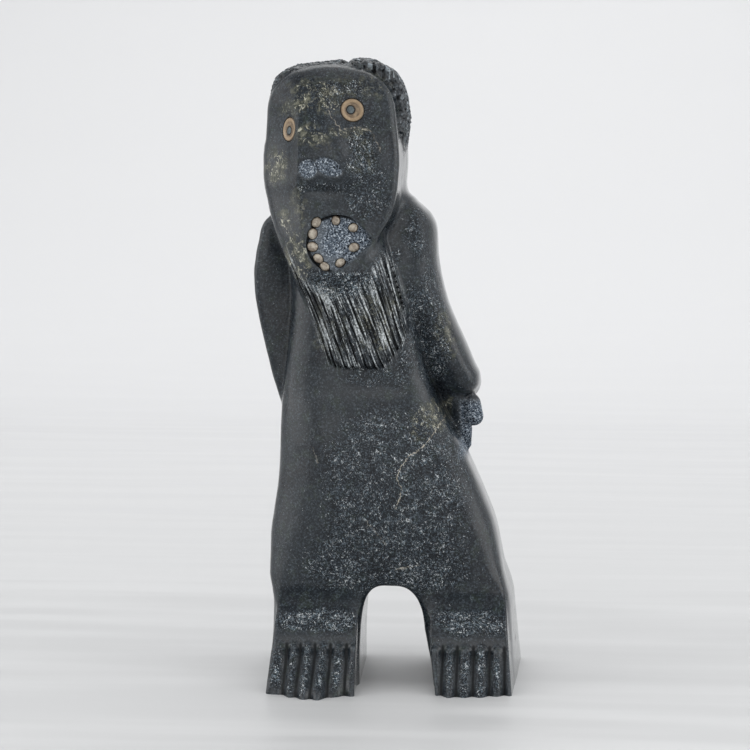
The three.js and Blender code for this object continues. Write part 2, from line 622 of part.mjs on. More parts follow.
  // True where moving w to p turns a triangle over or makes it more of a sliver.
  const folds = (w, other, p) => ring[w].some((f) => {
    const t = [F[3 * f], F[3 * f + 1], F[3 * f + 2]];
    if (t.includes(other)) return false;
    const before = normal(...t);
    const wasSize = Math.hypot(...before);
    const wasFull = wasSize / longest(t);
    const keep = [P[3 * w], P[3 * w + 1], P[3 * w + 2]];
    P.set(p, 3 * w);
    const after = normal(...t);
    const size = Math.hypot(...after);
    const full = size / longest(t);
    P.set(keep, 3 * w);
    const same = before[0] * after[0] + before[1] * after[1] + before[2] * after[2];
    return (full < 0.015 && full < wasFull) || (wasSize > 0.02 && same < 0.2 * size * wasSize);
  });
  let left = F.length / 3;
  let before = Infinity;
  while (left > wanted) {
    if (!heap.length) {
      if (left === before) break;
      before = left;
      offerAll();
    }
    const [, u, v, su, sv] = pop();
    if (stamp[u] !== su || stamp[v] !== sv) continue;
    const nu = neighbours(u);
    const nv = neighbours(v);
    let shared = 0;
    nu.forEach((w) => { if (nv.has(w)) shared += 1; });
    if (shared !== 2) continue;
    plan(u, v);
    const p = [...target];
    if (folds(u, v, p) || folds(v, u, p)) continue;
    P.set(p, 3 * u);
    for (let i = 0; i < 10; i += 1) Q[10 * u + i] += Q[10 * v + i];
    ring[v].forEach((f) => {
      const has = F[3 * f] === u || F[3 * f + 1] === u || F[3 * f + 2] === u;
      if (has) {
        alive[f] = 0;
        left -= 1;
        for (let i = 0; i < 3; i += 1) {
          const w = F[3 * f + i];
          if (w !== v) ring[w] = ring[w].filter((g) => g !== f);
        }
      } else {
        for (let i = 0; i < 3; i += 1) if (F[3 * f + i] === v) F[3 * f + i] = u;
        ring[u].push(f);
      }
    });
    ring[v] = [];
    stamp[v] = -1;
    stamp[u] += 1;
    neighbours(u).forEach((w) => offer(u, w));
  }
  const kept = [];
  for (let f = 0; f < F.length / 3; f += 1) if (alive[f]) kept.push(F[3 * f], F[3 * f + 1], F[3 * f + 2]);
  return { points: P, faces: kept };
}

// Between a geometry and a solid that can be joined and cut.
function solid(geometry) {
  const bare = geometry.clone();
  bare.deleteAttribute("normal");
  bare.deleteAttribute("uv");
  const merged = mergeVertices(bare, 1e-4);
  return new wasm.Manifold(new wasm.Mesh({
    numProp: 3,
    vertProperties: merged.attributes.position.array,
    triVerts: new Uint32Array(merged.index.array),
  }));
}

function geometryOf(body) {
  const mesh = body.getMesh();
  const positions = new Float32Array(mesh.numVert * 3);
  for (let i = 0; i < mesh.numVert; i += 1) {
    positions.set(mesh.vertProperties.subarray(i * mesh.numProp, i * mesh.numProp + 3), i * 3);
  }
  const geometry = new THREE.BufferGeometry();
  geometry.setAttribute("position", new THREE.BufferAttribute(positions, 3));
  geometry.setIndex(new THREE.BufferAttribute(new Uint32Array(mesh.triVerts), 1));
  return geometry;
}

// A turned piece whose axis is +Z of its own, from [radius, height] pairs; sides in the round.
function turned(profile, sides) {
  const lathe = new THREE.LatheGeometry(profile.map(([r, h]) => new THREE.Vector2(r, h)), sides);
  return lathe.rotateX(Math.PI / 2);
}

// The place and outward direction of the face's skin at (x, z).
function seat(x, z) {
  let low = -70;
  let high = -20;
  for (let i = 0; i < 40; i += 1) {
    const middle = (low + high) / 2;
    if (head(x, middle, z) > 0) low = middle;
    else high = middle;
  }
  const e = 2.5;
  const slopeX = (front(x + e, z) - front(x - e, z)) / (2 * e);
  const slopeZ = (front(x, z + e) - front(x, z - e)) / (2 * e);
  return { at: new THREE.Vector3(x, low, z), out: new THREE.Vector3(slopeX, -1, slopeZ).normalize() };
}

function front(x, z) {
  return Math.max(nearPlane(x, z), farPlane(x, z));
}

// Turns a piece so that its own +Z points along out, and moves its origin to the point at.
function stand(geometry, at, out, roll = 0) {
  const turn = new THREE.Quaternion().setFromUnitVectors(new THREE.Vector3(0, 0, 1), out);
  geometry.rotateZ(roll);
  geometry.applyQuaternion(turn);
  return geometry.translate(at.x, at.y, at.z);
}

// The first point of the stone met along +Y at (x, z), and the outward direction there.
function surface(x, z) {
  let low = -70;
  while (stone(x, low, z) > 0) low += 1;
  let high = low;
  low -= 1;
  for (let i = 0; i < 20; i += 1) {
    const middle = (low + high) / 2;
    if (stone(x, middle, z) > 0) low = middle;
    else high = middle;
  }
  const e = 0.8;
  const out = new THREE.Vector3(
    stone(x + e, low, z) - stone(x - e, low, z),
    stone(x, low + e, z) - stone(x, low - e, z),
    stone(x, low, z + e) - stone(x, low, z - e),
  ).normalize();
  return { at: new THREE.Vector3(x, low, z), out };
}

// One carved line of the beard: a V-shaped cutter that follows the surface from the chin to the hem.
// Lines stand closer together towards the beard's two edges, and lean less on its right.
function beardLine(k) {
  const u = (k + 0.5) / BEARD_LINES * 2 - 1;
  const c = -13 + 26.5 * (0.55 * u + 0.45 * Math.sin(Math.PI / 2 * u));
  const lean = 0.36 - 0.12 * ramp(c, -8, 12);
  const xAt = (z) => c - lean * (z - 205) - 0.0007 * sq(z - 205);
  const inside = (z) => {
    const x = xAt(z);
    return x > beardLeft(z) + 0.8 && x < beardRight(z) - 1.2 && z > beardHem(x) - 1.5
      && z < 211 + 0.034 * sq(x + 24);
  };
  const heights = [];
  for (let z = 240; z > 168; z -= 0.5) if (inside(z)) heights.push(z);
  if (heights.length < 24) return null;
  const top = heights[0];
  const foot = heights[heights.length - 1];
  const across = new THREE.Vector3();
  const stations = Array.from({ length: BEARD_LINE_STATIONS }, (_, i) => {
    const z = top + (foot - top) * i / (BEARD_LINE_STATIONS - 1);
    const { at, out } = surface(xAt(z), z);
    const along = new THREE.Vector3(lean, 0, -1).normalize();
    across.crossVectors(out, along).normalize();
    const deep = BEARD_LINE_DEEP * (i === 0 ? 0.3 : 1);
    const lift = 0.9;
    const half = BEARD_LINE_HALF * (1 + lift / BEARD_LINE_DEEP);
    return [
      at.clone().addScaledVector(across, -half).addScaledVector(out, lift),
      at.clone().addScaledVector(across, half).addScaledVector(out, lift),
      at.clone().addScaledVector(out, -deep),
    ];
  });
  const points = stations.flat().flatMap((p) => p.toArray());
  const faces = [];
  for (let i = 0; i < BEARD_LINE_STATIONS - 1; i += 1) {
    for (let j = 0; j < 3; j += 1) {
      const a = 3 * i + j;
      const b = 3 * i + (j + 1) % 3;
      faces.push(a, b, b + 3, a, b + 3, a + 3);
    }
  }
  const last = 3 * (BEARD_LINE_STATIONS - 1);
  faces.push(0, 2, 1, last, last + 1, last + 2);
  const wedge = new THREE.BufferGeometry();
  wedge.setAttribute("position", new THREE.Float32BufferAttribute(points, 3));
  wedge.setIndex(faces);
  const cutter = solid(wedge.toNonIndexed());
  if (cutter.volume() > 0) return cutter;
  wedge.setIndex(faces.map((_, i) => faces[i - (i % 3) + [0, 2, 1][i % 3]]));
  return solid(wedge.toNonIndexed());
}

// A nostril: a shallow oval pocket in the front of the nose.
function nostril([x, z, a, b, tilt]) {
  const { at, out } = surface(x, z);
  const oval = new THREE.CylinderGeometry(1, 0.86, 4, 16).rotateX(Math.PI / 2).scale(a, b, 1);
  return stand(oval.translate(0, 0, 2 - NOSTRIL_DEPTH), at, out, tilt);
}

// An eye: a round slice with a dished face, its hole off the middle, and a stone peg in the hole.
function eye(x, z, aside) {
  const { at, out } = seat(x, z);
  const top = EYE_PROUD;
  const foot = EYE_PROUD - EYE_THICK;
  const r = EYE_RADIUS;
  const hole = PUPIL_RADIUS + GAP;
  const disc = turned([[0, foot], [r - 0.4, foot], [r, foot + 0.4], [r, top - 0.7], [r - 0.7, top],
    [3.6, top - 0.35], [0, top - 0.6]], 24);
  const drill = new THREE.CylinderGeometry(hole, hole, 9, 12).rotateX(Math.PI / 2).translate(aside, 0, 0);
  const ring = geometryOf(solid(disc).subtract(solid(drill)));
  const peg = turned([[0, foot], [PUPIL_RADIUS, foot], [PUPIL_RADIUS, top - 1.1],
    [PUPIL_RADIUS * 0.7, top - 0.8], [0, top - 0.7]], 10).translate(aside, 0, 0);
  const pocket = turned([[0, foot - GAP], [r + GAP, foot - GAP], [r + GAP, 9], [0, 9]], 24);
  return { ring: stand(ring, at, out), peg: stand(peg, at, out), pocket: stand(pocket, at, out) };
}

// A tooth: a peg with a domed end that leans a little towards the middle of the mouth.
// Its socket, asked for with a gap, is straight and runs out through the mouth's rim.
function tooth([x, z, wide, tall, turn], gap) {
  const long = TOOTH_LONG;
  const peg = [[0, 0], [0.46, 0], [0.5, long * 0.3], [0.5, long * 0.78], [0.38, long * 0.93], [0, long]];
  const socket = [[0, -gap], [0.5, -gap], [0.5, long + 3], [0, long + 3]];
  const r = turned(gap > 0 ? socket : peg, 8);
  r.scale(wide + 2 * gap, tall + 2 * gap, 1);
  r.rotateZ(THREE.MathUtils.degToRad(turn));
  const lean = new THREE.Vector3((MOUTH_X - x) * 0.012, -1, (MOUTH_Z - z) * 0.012).normalize();
  const foot = new THREE.Vector3(x, front(x, z) + TOOTH_SUNK, z).addScaledVector(lean, -long);
  return stand(r, foot, lean);
}

const finish = {
  stone: { color: 0x2c3230, roughness: 0.42, metalness: 0 },
  antler: { color: 0xb89a78, roughness: 0.5, metalness: 0 },
  tooth: { color: 0xe2d6c3, roughness: 0.4, metalness: 0 },
};

const figure = new THREE.Group();
figure.name = "figure";

function add(name, kind, geometry) {
  const mesh = new THREE.Mesh(geometry, new THREE.MeshStandardMaterial(finish[kind]));
  mesh.name = name;
  geometry.translate(-CENTRE_X, -CENTRE_Y, 0);
  geometry.computeVertexNormals();
  figure.add(mesh);
}

const rough = thin(largest(skin(stone, [-78, -76, -7], [80, 52, 344], GRID)), STONE_TRIANGLES);
const roughGeometry = new THREE.BufferGeometry();
roughGeometry.setAttribute("position", new THREE.Float32BufferAttribute(rough.points, 3));
roughGeometry.setIndex(rough.faces);
let body = solid(roughGeometry.toNonIndexed());
body = body.subtract(solid(new THREE.BoxGeometry(300, 300, 40).translate(0, 0, -20)));

const near = eye(EYE_NEAR[0], EYE_NEAR[1], -PUPIL_ASIDE);
const far = eye(EYE_FAR[0], EYE_FAR[1], -PUPIL_ASIDE);
[near, far].forEach((e) => { body = body.subtract(solid(e.pocket)); });
TEETH.forEach((t) => { body = body.subtract(solid(tooth(t, GAP))); });
NOSTRILS.forEach((n) => { body = body.subtract(solid(nostril(n))); });
for (let k = 0; k < BEARD_LINES; k += 1) {
  const cutter = beardLine(k);
  if (cutter) body = body.subtract(cutter);
}
// A cut near an edge can leave a loose crumb, which falls away.
body = body.decompose().sort((a, b) => b.volume() - a.volume())[0];

add("stone_figure", "stone", geometryOf(body));
add("eye_ring_near", "antler", near.ring);
add("eye_ring_far", "antler", far.ring);
add("pupil_near", "stone", near.peg);
add("pupil_far", "stone", far.peg);
TEETH.forEach((t, i) => add(`tooth_${i + 1}`, "tooth", tooth(t, 0)));

export default figure;
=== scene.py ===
import bpy
import numpy as np
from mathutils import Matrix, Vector


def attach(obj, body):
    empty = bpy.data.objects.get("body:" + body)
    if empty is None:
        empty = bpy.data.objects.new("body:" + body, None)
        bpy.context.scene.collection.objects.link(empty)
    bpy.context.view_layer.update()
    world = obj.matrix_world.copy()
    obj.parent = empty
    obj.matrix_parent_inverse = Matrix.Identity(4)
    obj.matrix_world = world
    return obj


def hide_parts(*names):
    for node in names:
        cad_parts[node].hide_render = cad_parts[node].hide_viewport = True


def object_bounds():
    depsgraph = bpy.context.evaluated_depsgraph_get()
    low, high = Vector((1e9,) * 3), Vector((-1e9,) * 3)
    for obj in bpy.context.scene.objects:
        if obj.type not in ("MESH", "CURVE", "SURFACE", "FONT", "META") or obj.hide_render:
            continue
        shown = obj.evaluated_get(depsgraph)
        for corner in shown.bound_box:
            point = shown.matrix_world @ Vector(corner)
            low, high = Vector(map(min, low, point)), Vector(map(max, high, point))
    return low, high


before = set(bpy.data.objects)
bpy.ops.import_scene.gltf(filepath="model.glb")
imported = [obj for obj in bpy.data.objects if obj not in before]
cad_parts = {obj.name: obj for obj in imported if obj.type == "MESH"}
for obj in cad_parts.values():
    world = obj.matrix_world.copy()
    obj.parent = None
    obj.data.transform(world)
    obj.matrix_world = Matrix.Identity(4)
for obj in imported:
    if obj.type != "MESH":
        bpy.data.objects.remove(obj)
cad_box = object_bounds()

# The stone's block: trunk, legs and the arch between them.
# One dark, fine-grained stone, sawn to a block and carved as one, so the whole figure is one form:
# a depth in millimetres at any point of space, below zero inside the stone and above it in the air.
MIDDLE = np.array([0.68, -11.23, 0.0])  # the plan middle of the figure, from the arch's own axis
FACET_RIGHT, FACET_FORWARD = 0.563, 0.826  # which way the polished facet faces
TRUNK_TOP = 266
ARCH_TOP, ARCH_POWER, ARCH_SCALE = 54.0, 3.2, 17
ARCH_MIDDLE, ARCH_FRONT, ARCH_DRIFT = 3.0, -30, 0.035
ARCH_LEFT, ARCH_RIGHT, ARCH_SPREAD, ARCH_SPRING = 16.3, 21.3, 4.2, 34


def blend_min(a, b, k):
    """The smaller of two depths, with the corner between them filled by an arc of width k."""
    h = np.maximum(k - np.abs(a - b), 0) / k
    return np.minimum(a, b) - h * h * k / 4


def blend_max(a, b, k):
    """The larger of two depths, with the corner between them rounded over the width k."""
    return -blend_min(-a, -b, k)


def ramp(v, low, high):
    """0 below low, 1 above high, and the smooth step 3t^2 - 2t^3 between them."""
    t = np.clip((v - low) / (high - low), 0, 1)
    return t * t * (3 - 2 * t)


def bell(v, middle, width):
    """exp(-((v - middle) / width)^2)."""
    return np.exp(-((v - middle) / width) ** 2)


def profile(pairs):
    """A smooth curve through (height, value) pairs that never swings past them.

    Cubic pieces whose slope at each pair is the weighted harmonic mean of the rises on either side,
    or nothing at a peak, read from a table of quarter millimetres.
    """
    h, v = np.asarray(pairs, float).T
    rise = np.diff(v) / np.diff(h)
    slope = np.zeros(len(h))
    w1 = 2 * np.diff(h)[1:] + np.diff(h)[:-1]
    w2 = np.diff(h)[1:] + 2 * np.diff(h)[:-1]
    same = rise[:-1] * rise[1:] > 0
    before, after = np.where(same, rise[:-1], 1), np.where(same, rise[1:], 1)
    slope[1:-1] = np.where(same, (w1 + w2) / (w1 / before + w2 / after), 0)
    slope[0], slope[-1] = rise[0], rise[-1]
    z = np.arange(h[0], h[-1] + 0.25, 0.25)
    z[-1] = h[-1]
    i = np.clip(np.searchsorted(h, z, side="right") - 1, 0, len(h) - 2)
    w = h[i + 1] - h[i]
    t = (z - h[i]) / w
    value = ((1 + 2 * t) * (1 - t) ** 2 * v[i] + t * (1 - t) ** 2 * w * slope[i]
             + t * t * (3 - 2 * t) * v[i + 1] + t * t * (t - 1) * w * slope[i + 1])
    return lambda at: np.interp(at, z, value)


def section(x, y, left, right, front, back, square):
    """Depth from a rounded rectangle that touches left, right, front and back.

    The distance from its middle, times one less the inverse of ((x/a)^n + (y/b)^n)^(1/n).
    """
    dx = np.abs(x - (left + right) / 2) + 1e-6
    dy = np.abs(y - (front + back) / 2) + 1e-6
    q = ((2 * dx / (right - left)) ** square + (2 * dy / (back - front)) ** square) ** (1 / square)
    return np.hypot(dx, dy) * (1 - 1 / q)


TRUNK_LEFT = profile([
    (0, -60.5), (41, -60.6), (50, -61.8), (59, -63.3), (77, -63.3), (95, -61.1), (108, -59.3), (126, -58.2),
    (144, -57.4), (160, -56.5), (178, -54), (193, -52.5), (210, -51.5), (228, -53), (240, -54), (262, -46)])
TRUNK_RIGHT = profile([
    (0, 69), (30, 69), (48, 67.6), (63, 64.6), (83, 60.8), (103, 53.6), (118, 46.9), (127, 42.6),
    (145, 32.5), (159, 26.5), (169, 22.5), (191, 17.5), (208, 13), (225, 12), (240, 12), (262, 8)])
TRUNK_FRONT = profile([
    (0, -30), (46, -29.8), (58, -31.6), (72, -34), (90, -36), (110, -36.5), (128, -35.5), (145, -32.5),
    (160, -28.5), (172, -28), (200, -27.6), (218, -25), (235, -21), (262, -15)])
TRUNK_BACK = profile([
    (0, 43), (30, 42), (50, 40), (75, 39), (95, 40.5), (112, 41), (128, 38), (150, 32.5), (170, 30),
    (200, 31), (235, 31.5), (262, 28)])
TRUNK_SQUARE = profile([
    (0, 8), (50, 7), (72, 4.4), (100, 3.4), (130, 3.2), (160, 3.4), (200, 3.4), (262, 2.8)])
SIDE_FACET = profile([(30, 66), (60, 57), (90, 52.5), (130, 50), (160, 46.5), (200, 45), (240, 46)])


def trunk(x, y, z):
    """The loft of belly, chest and hips, cut by the polished facet and rounded over at the shoulders."""
    f = section(x, y, TRUNK_LEFT(z), TRUNK_RIGHT(z), TRUNK_FRONT(z), TRUNK_BACK(z), TRUNK_SQUARE(z))
    f = blend_max(f, -FACET_RIGHT * x - FACET_FORWARD * y - SIDE_FACET(z), 7)
    return blend_max(f, z - TRUNK_TOP, 14)


def arch(x, y, z):
    """The opening between the legs: a superellipse, narrower on the left and wider at the floor."""
    middle = ARCH_MIDDLE - ARCH_DRIFT * (y - ARCH_FRONT)
    half = np.where(x < middle, ARCH_LEFT, ARCH_RIGHT + ARCH_SPREAD * ramp(ARCH_SPRING - z, 0, ARCH_SPRING))
    across, up = np.abs(x - middle) / half, np.maximum(z, 0) / ARCH_TOP
    return ((across ** ARCH_POWER + up ** ARCH_POWER) ** (1 / ARCH_POWER) - 1) * ARCH_SCALE


# The feet: flat-topped wedges of the same stone, with toes left standing between filed grooves.
# Each toe begins in a small round knuckle, and its end is worn.
FOOT_FRONT = profile([
    (0, -47.8), (4, -47.4), (12, -44.8), (20, -41.8), (24, -40.6), (28, -39.6), (31, -38.2), (36, -34.8),
    (41, -31.4), (45, -29.4), (52, -28.6), (60, -28)])
LEFT_GROOVES = [-50.6, -43.2, -35.3, -26.9, -18.2]
RIGHT_GROOVES = [33.2, 41.0, 49.7, 58.3, 66.2]
LEFT_REACH = [6.5, 13, 17, 18, 10, 8]
RIGHT_REACH = [2, 6.5, 5.5, 4.5, 1.5, 0]
TOE_PROUD, TOE_TOP = 2.3, 25.6
GROOVE_WIDE, GROOVE_FAN, GROOVE_TURN = 2.2, 0.012, 15
KNUCKLE_Z, KNUCKLE_TALL, KNUCKLE_PROUD, TOE_WORN = 22.3, 2.5, 0.7, 0.5
LEFT_FOOT, RIGHT_FOOT, HEEL, INSTEP_TOP, FOOT_ROUND = (-58.4, -12.6), (29.6, 70.4), 45, 62, 2.5
CHIP_Y, CHIP_Z, CHIP_LONG, CHIP_TALL, CHIP_DEEP = 6.9, 19.2, 4.0, 1.4, 1.2


def lattice(i, j, k, seed):
    """A number from 0 to 1 for each lattice point: the fraction of a large sine of its place."""
    v = np.sin(i * 127.1 + j * 311.7 + k * 74.7 + seed * 19.19) * 43758.5453
    return v - np.floor(v)


def noise(x, y, z, size, seed=0):
    """Smooth random hills from -1 to 1, size millimetres across, blended from the lattice corners."""
    x, y, z = x / size, y / size, z / size
    i, j, k = np.floor(x), np.floor(y), np.floor(z)
    u, v, w = ramp(x - i, 0, 1), ramp(y - j, 0, 1), ramp(z - k, 0, 1)
    total = 0
    for a in (0, 1):
        for b in (0, 1):
            for c in (0, 1):
                weight = (u if a else 1 - u) * (v if b else 1 - v) * (w if c else 1 - w)
                total = total + weight * lattice(i + a, j + b, k + c, seed)
    return 2 * total - 1


def toe_grooves(x, z, beds):
    """1 in the bed of each filed groove between the toes, falling to 0 beside it; they fan out downwards."""
    centre = (beds[0] + beds[-1] - 1) / 2
    fan = GROOVE_FAN * (GROOVE_TURN - z) / GROOVE_TURN
    return np.max([bell(x, bed + fan * (bed - centre), GROOVE_WIDE) for bed in beds], axis=0)


def foot_face(x, z, beds, reach, fine):
    """Depth of a foot's front: instep and toes, which reach forward as they come to the floor."""
    edges = np.array([beds[0] - 8] + beds + [beds[-1] + 7])
    middles, halves = (edges[:-1] + edges[1:]) / 2, np.diff(edges) / 2
    depth = FOOT_FRONT(z) - np.interp(x, middles, reach) * ramp(26 - z, 0, 26) ** 2
    i = np.clip(np.searchsorted(edges, x) - 1, 0, len(middles) - 1)
    u = np.clip((x - middles[i]) / halves[i], -1, 1)
    depth = depth - TOE_PROUD * (1 - toe_grooves(x, z, beds)) * ramp(TOE_TOP - z - 2.6 * u * u, 0, 3)
    if fine:
        depth = depth - KNUCKLE_PROUD * bell(u, 0, 0.75) * bell(z, KNUCKLE_Z, KNUCKLE_TALL)
        depth = depth + TOE_WORN * u * u * ramp(24 - z, 0, 4)
    return depth


def feet(x, y, z, fine):
    """Both wedges: the largest of the depths from a foot's front, leaning sides, heel and instep."""
    left = foot_face(x, z, LEFT_GROOVES, LEFT_REACH, fine) - y
    left = blend_max(left, LEFT_FOOT[0] - 0.05 * y - 0.1 * np.maximum(46 - z, 0) - x, FOOT_ROUND)
    left = blend_max(left, x - (LEFT_FOOT[1] - 0.045 * (y + HEEL)), FOOT_ROUND)
    right = foot_face(x, z, RIGHT_GROOVES, RIGHT_REACH, fine) - y
    right = blend_max(right, x - (RIGHT_FOOT[1] + 0.036 * (y + HEEL)) + 0.095 * z, FOOT_ROUND)
    right = blend_max(right, RIGHT_FOOT[0] - 0.13 * np.minimum(z, 30) - x, FOOT_ROUND)
    if fine:
        right = right + CHIP_DEEP * bell(y, CHIP_Y, CHIP_LONG) * bell(z, CHIP_Z, CHIP_TALL) * (x > 60)
    f = blend_max(np.minimum(left, right), y - HEEL + 0.07 * z, 3)
    return blend_max(f, z - INSTEP_TOP, 22)


# The arms and hands: cut free of the chest by a deep groove on each side, but still the same stone.
# The near arm is two polished planes that meet in a ridge. The fingers lie on the back of the hips.
ARM_OUT = profile([
    (140, 40), (152, 46), (157, 49.2), (162, 50.8), (166, 50.6), (172, 47.9), (182, 43.6), (194, 38.2),
    (207, 32.7), (219, 29.6), (230, 27.9), (245, 27.1), (254, 24.5), (261, 18)])
ARM_RIDGE = profile([
    (150, 44), (163, 46), (173, 40.1), (189, 32.4), (204, 25.4), (220, 19), (233, 17.7), (251, 16.6),
    (262, 14)])
ARM_RIDGE_DEPTH = profile([(150, -8), (175, -13), (210, -17), (245, -20), (262, -17)])
ARM_BACK = profile([(150, 26), (200, 26), (262, 22)])
LEFT_OUT = profile([
    (140, -53), (151, -58), (159, -60.5), (171, -63.8), (187, -67.4), (200, -70), (211, -71.8),
    (221, -72.2), (230, -71.4), (240, -69.4), (249, -67.6), (253, -65), (256, -60)])
ARM_TOP, ARM_FOOT, LEFT_ARM_TOP = 262.5, 153.5, 257
ARM_SIDE_PLANE, ARM_FRONT_PLANE = (0.8, -0.6), (-0.42, -0.91)
NEAR_FOREARM = ((36, 7, 162), (40.5, 12, 131), 10, 4.5)
NEAR_HAND = [((40, 16, 160), (33, 25, 146), 10, 7.5, 5),
             ((45.6, 6.5, 150), (47.4, 7.5, 142.8), 5.6, 5.3, 0.8),
             ((42.4, 7, 135.5), (43.8, 9, 127.2), 4.3, 2.4, 0.8)]
FAR_FOREARM = ((-52, 12, 166), (-44, 25, 147), 9.5, 7.5)
FINGERS, FINGER_APART, FINGER_ROOT, FINGER_TIP, FINGER_BLEND = 4, 6.6, 4.5, 3.4, 1.2


def bar(x, y, z, a, b, ra, rb):
    """Depth from a round bar that runs from a to b, its radius going from ra to rb."""
    d = np.subtract(b, a)
    t = np.clip(((x - a[0]) * d[0] + (y - a[1]) * d[1] + (z - a[2]) * d[2]) / (d @ d), 0, 1)
    away = np.sqrt((x - a[0] - t * d[0]) ** 2 + (y - a[1] - t * d[1]) ** 2 + (z - a[2] - t * d[2]) ** 2)
    return away - (ra + (rb - ra) * t)


def right_arm(x, y, z):
    """The largest of the depths from two planes that lean on a curved ridge, and the arm's ends and back."""
    dx, dy = x - ARM_RIDGE(z), y - ARM_RIDGE_DEPTH(z)
    planes = [n[0] * dx + n[1] * dy for n in (ARM_SIDE_PLANE, ARM_FRONT_PLANE)]
    f = blend_max(*planes, 10)
    f = blend_max(f, x - ARM_OUT(z), 9)
    f = blend_max(f, y - ARM_BACK(z), 12)
    f = blend_max(f, z - (ARM_TOP - 0.02 * np.maximum(x - 8, 0) ** 2), 8)
    f = blend_max(f, ARM_FOOT + 0.25 * (51 - x) - z, 7)
    return np.maximum(f, -x - 15)


def left_arm(x, y, z):
    """The same for the far arm: its outer side, slanting front, back and rounded shoulder."""
    f = blend_max(LEFT_OUT(z) - x, -10 + 0.35 * (x + 60) - y, 7)
    f = blend_max(f, y - 26, 14)
    f = blend_max(f, z - (LEFT_ARM_TOP - 0.05 * np.maximum(-58 - x, 0) ** 2), 8)
    return np.maximum(f, x + 30)


def hands(x, y, z):
    """Bars joined by small blends: forearm, wrist and two lobes, the other forearm, and the fingers."""
    f, g = bar(x, y, z, *NEAR_FOREARM), bar(x, y, z, *FAR_FOREARM)
    for a, b, ra, rb, width in NEAR_HAND:
        f = blend_min(f, bar(x, y, z, a, b, ra, rb), width)
    for k in range(FINGERS):
        a = (37 - FINGER_APART * k, 23 + 2.6 * k, 148 + 0.8 * k)
        b = (a[0] - 1.5 - k, a[1] + 6.5 + 0.3 * k, 124 + 1.5 * k)
        f = blend_min(f, bar(x, y, z, a, b, FINGER_ROOT, FINGER_TIP), FINGER_BLEND)
        c = (-50 + FINGER_APART * k, 21 + 3 * k, 149 + 0.8 * k)
        d = (c[0] + 1.5 + k, c[1] + 6.5 + 0.3 * k, 125 + 1.5 * k)
        g = blend_min(g, bar(x, y, z, c, d, FINGER_ROOT, FINGER_TIP), FINGER_BLEND)
    return np.minimum(f, g)


# The head: a mask-like face of two planes that meet in the ridge of the nose, polished but for the
# two scraped nostrils, with hollows for the eyes and a fold under each.
FACE_LEFT = profile([
    (205, -40), (216, -44), (228, -50.5), (239, -55.5), (246.5, -58.3), (255, -61), (262, -62.6),
    (269, -64.6), (276, -65.6), (283, -65.6), (290, -64.9), (294.5, -63.6), (303, -63), (313, -62.4),
    (320, -60), (327, -55)])
FACE_RIGHT = profile([
    (205, -20), (214, -20), (222, -15), (231, -9), (240, -3), (246, 1), (251, 4), (256, 6), (262, 7.4),
    (270, 8.6), (283, 9.4), (292, 8.6), (304, 7.2), (313, 6), (322, 2.6), (330, -4)])
HEAD_BACK = profile([(205, 0), (230, 20), (255, 30), (300, 35), (330, 32)])
RIDGE_X = profile([
    (210, -33), (216, -34.5), (228, -37.5), (240, -39.8), (247, -41), (262, -42.1), (270, -43),
    (281, -42.8), (293, -42.6), (304, -43), (313, -45), (330, -48)])
FACE_DEPTH = profile([
    (205, -41), (213, -45), (222, -47.5), (238, -48.5), (258, -47.5), (275, -47), (292, -46.5), (304, -45),
    (315, -43.8), (324, -41.6), (333, -37)])
NOSE_RIGHT = profile([(262, -17), (275, -14.5), (283, -15.5), (297, -20.5), (309, -27), (320, -32)])
NOSE_UP = profile([
    (259, 0), (266, 0.9), (270, 2.6), (275, 4.3), (281, 4.8), (290, 4.2), (300, 3.2), (309, 2), (318, 0.6),
    (324, 0)])
NOSTRILS = [(-37.3, 277.8, 4.9, 4.8, 0.0), (-26.6, 278.7, 7.3, 4.3, -0.42)]
NEAR_HOLLOW, FAR_HOLLOW = (-14.5, 309, 12, 10), (-50, 299, 6, 9.5)
FACE_FRONT, FACE_SQUARE, JAW = -75, 6, 214.5
DOME_MIDDLE, DOME_HALF, DOME_SPRING, DOME_TALL, DOME_POWER = -27, 41, 300, 32.8, 2.2


def hollow(x, z, place):
    """1 in the middle of an eye's hollow and 0 past its oval: exp(-r^3), r from its middle and half sizes."""
    px, pz, wide, tall = place
    return np.exp(-(((x - px) / wide) ** 2 + ((z - pz) / tall) ** 2) ** 1.5)


def near_plane(x, z):
    """Depth of the face's near plane: flat nose, cheek beside it, eye hollow, fold and wrinkle."""
    nose = NOSE_RIGHT(z)
    past = np.clip((x - nose + 6) / 4, -30, 30)
    y = FACE_DEPTH(z) + 0.1 * (x - RIDGE_X(z)) - NOSE_UP(z) * (1 - ramp(x, nose - 8, nose + 7))
    y = y + 0.8 * np.log1p(np.exp(past)) + 1.5 * hollow(x, z, NEAR_HOLLOW)
    y = y - 0.4 * bell(z - (296.5 - 0.012 * (x + 14) ** 2), 0, 3) * ramp(x, -24, -13) * ramp(-x, -2, 8)
    return y + 0.9 * bell(z, 266.5, 2) * bell(x, -30, 8)


def far_plane(x, z):
    """Depth of the far plane, which falls away from the nose's ridge, with the other eye's hollow."""
    past = np.maximum(RIDGE_X(z) - x, 0)
    y = FACE_DEPTH(z) + 0.95 * (RIDGE_X(z) - x) - NOSE_UP(z) * np.exp(-past / 3.5)
    return y + hollow(x, z, FAR_HOLLOW)


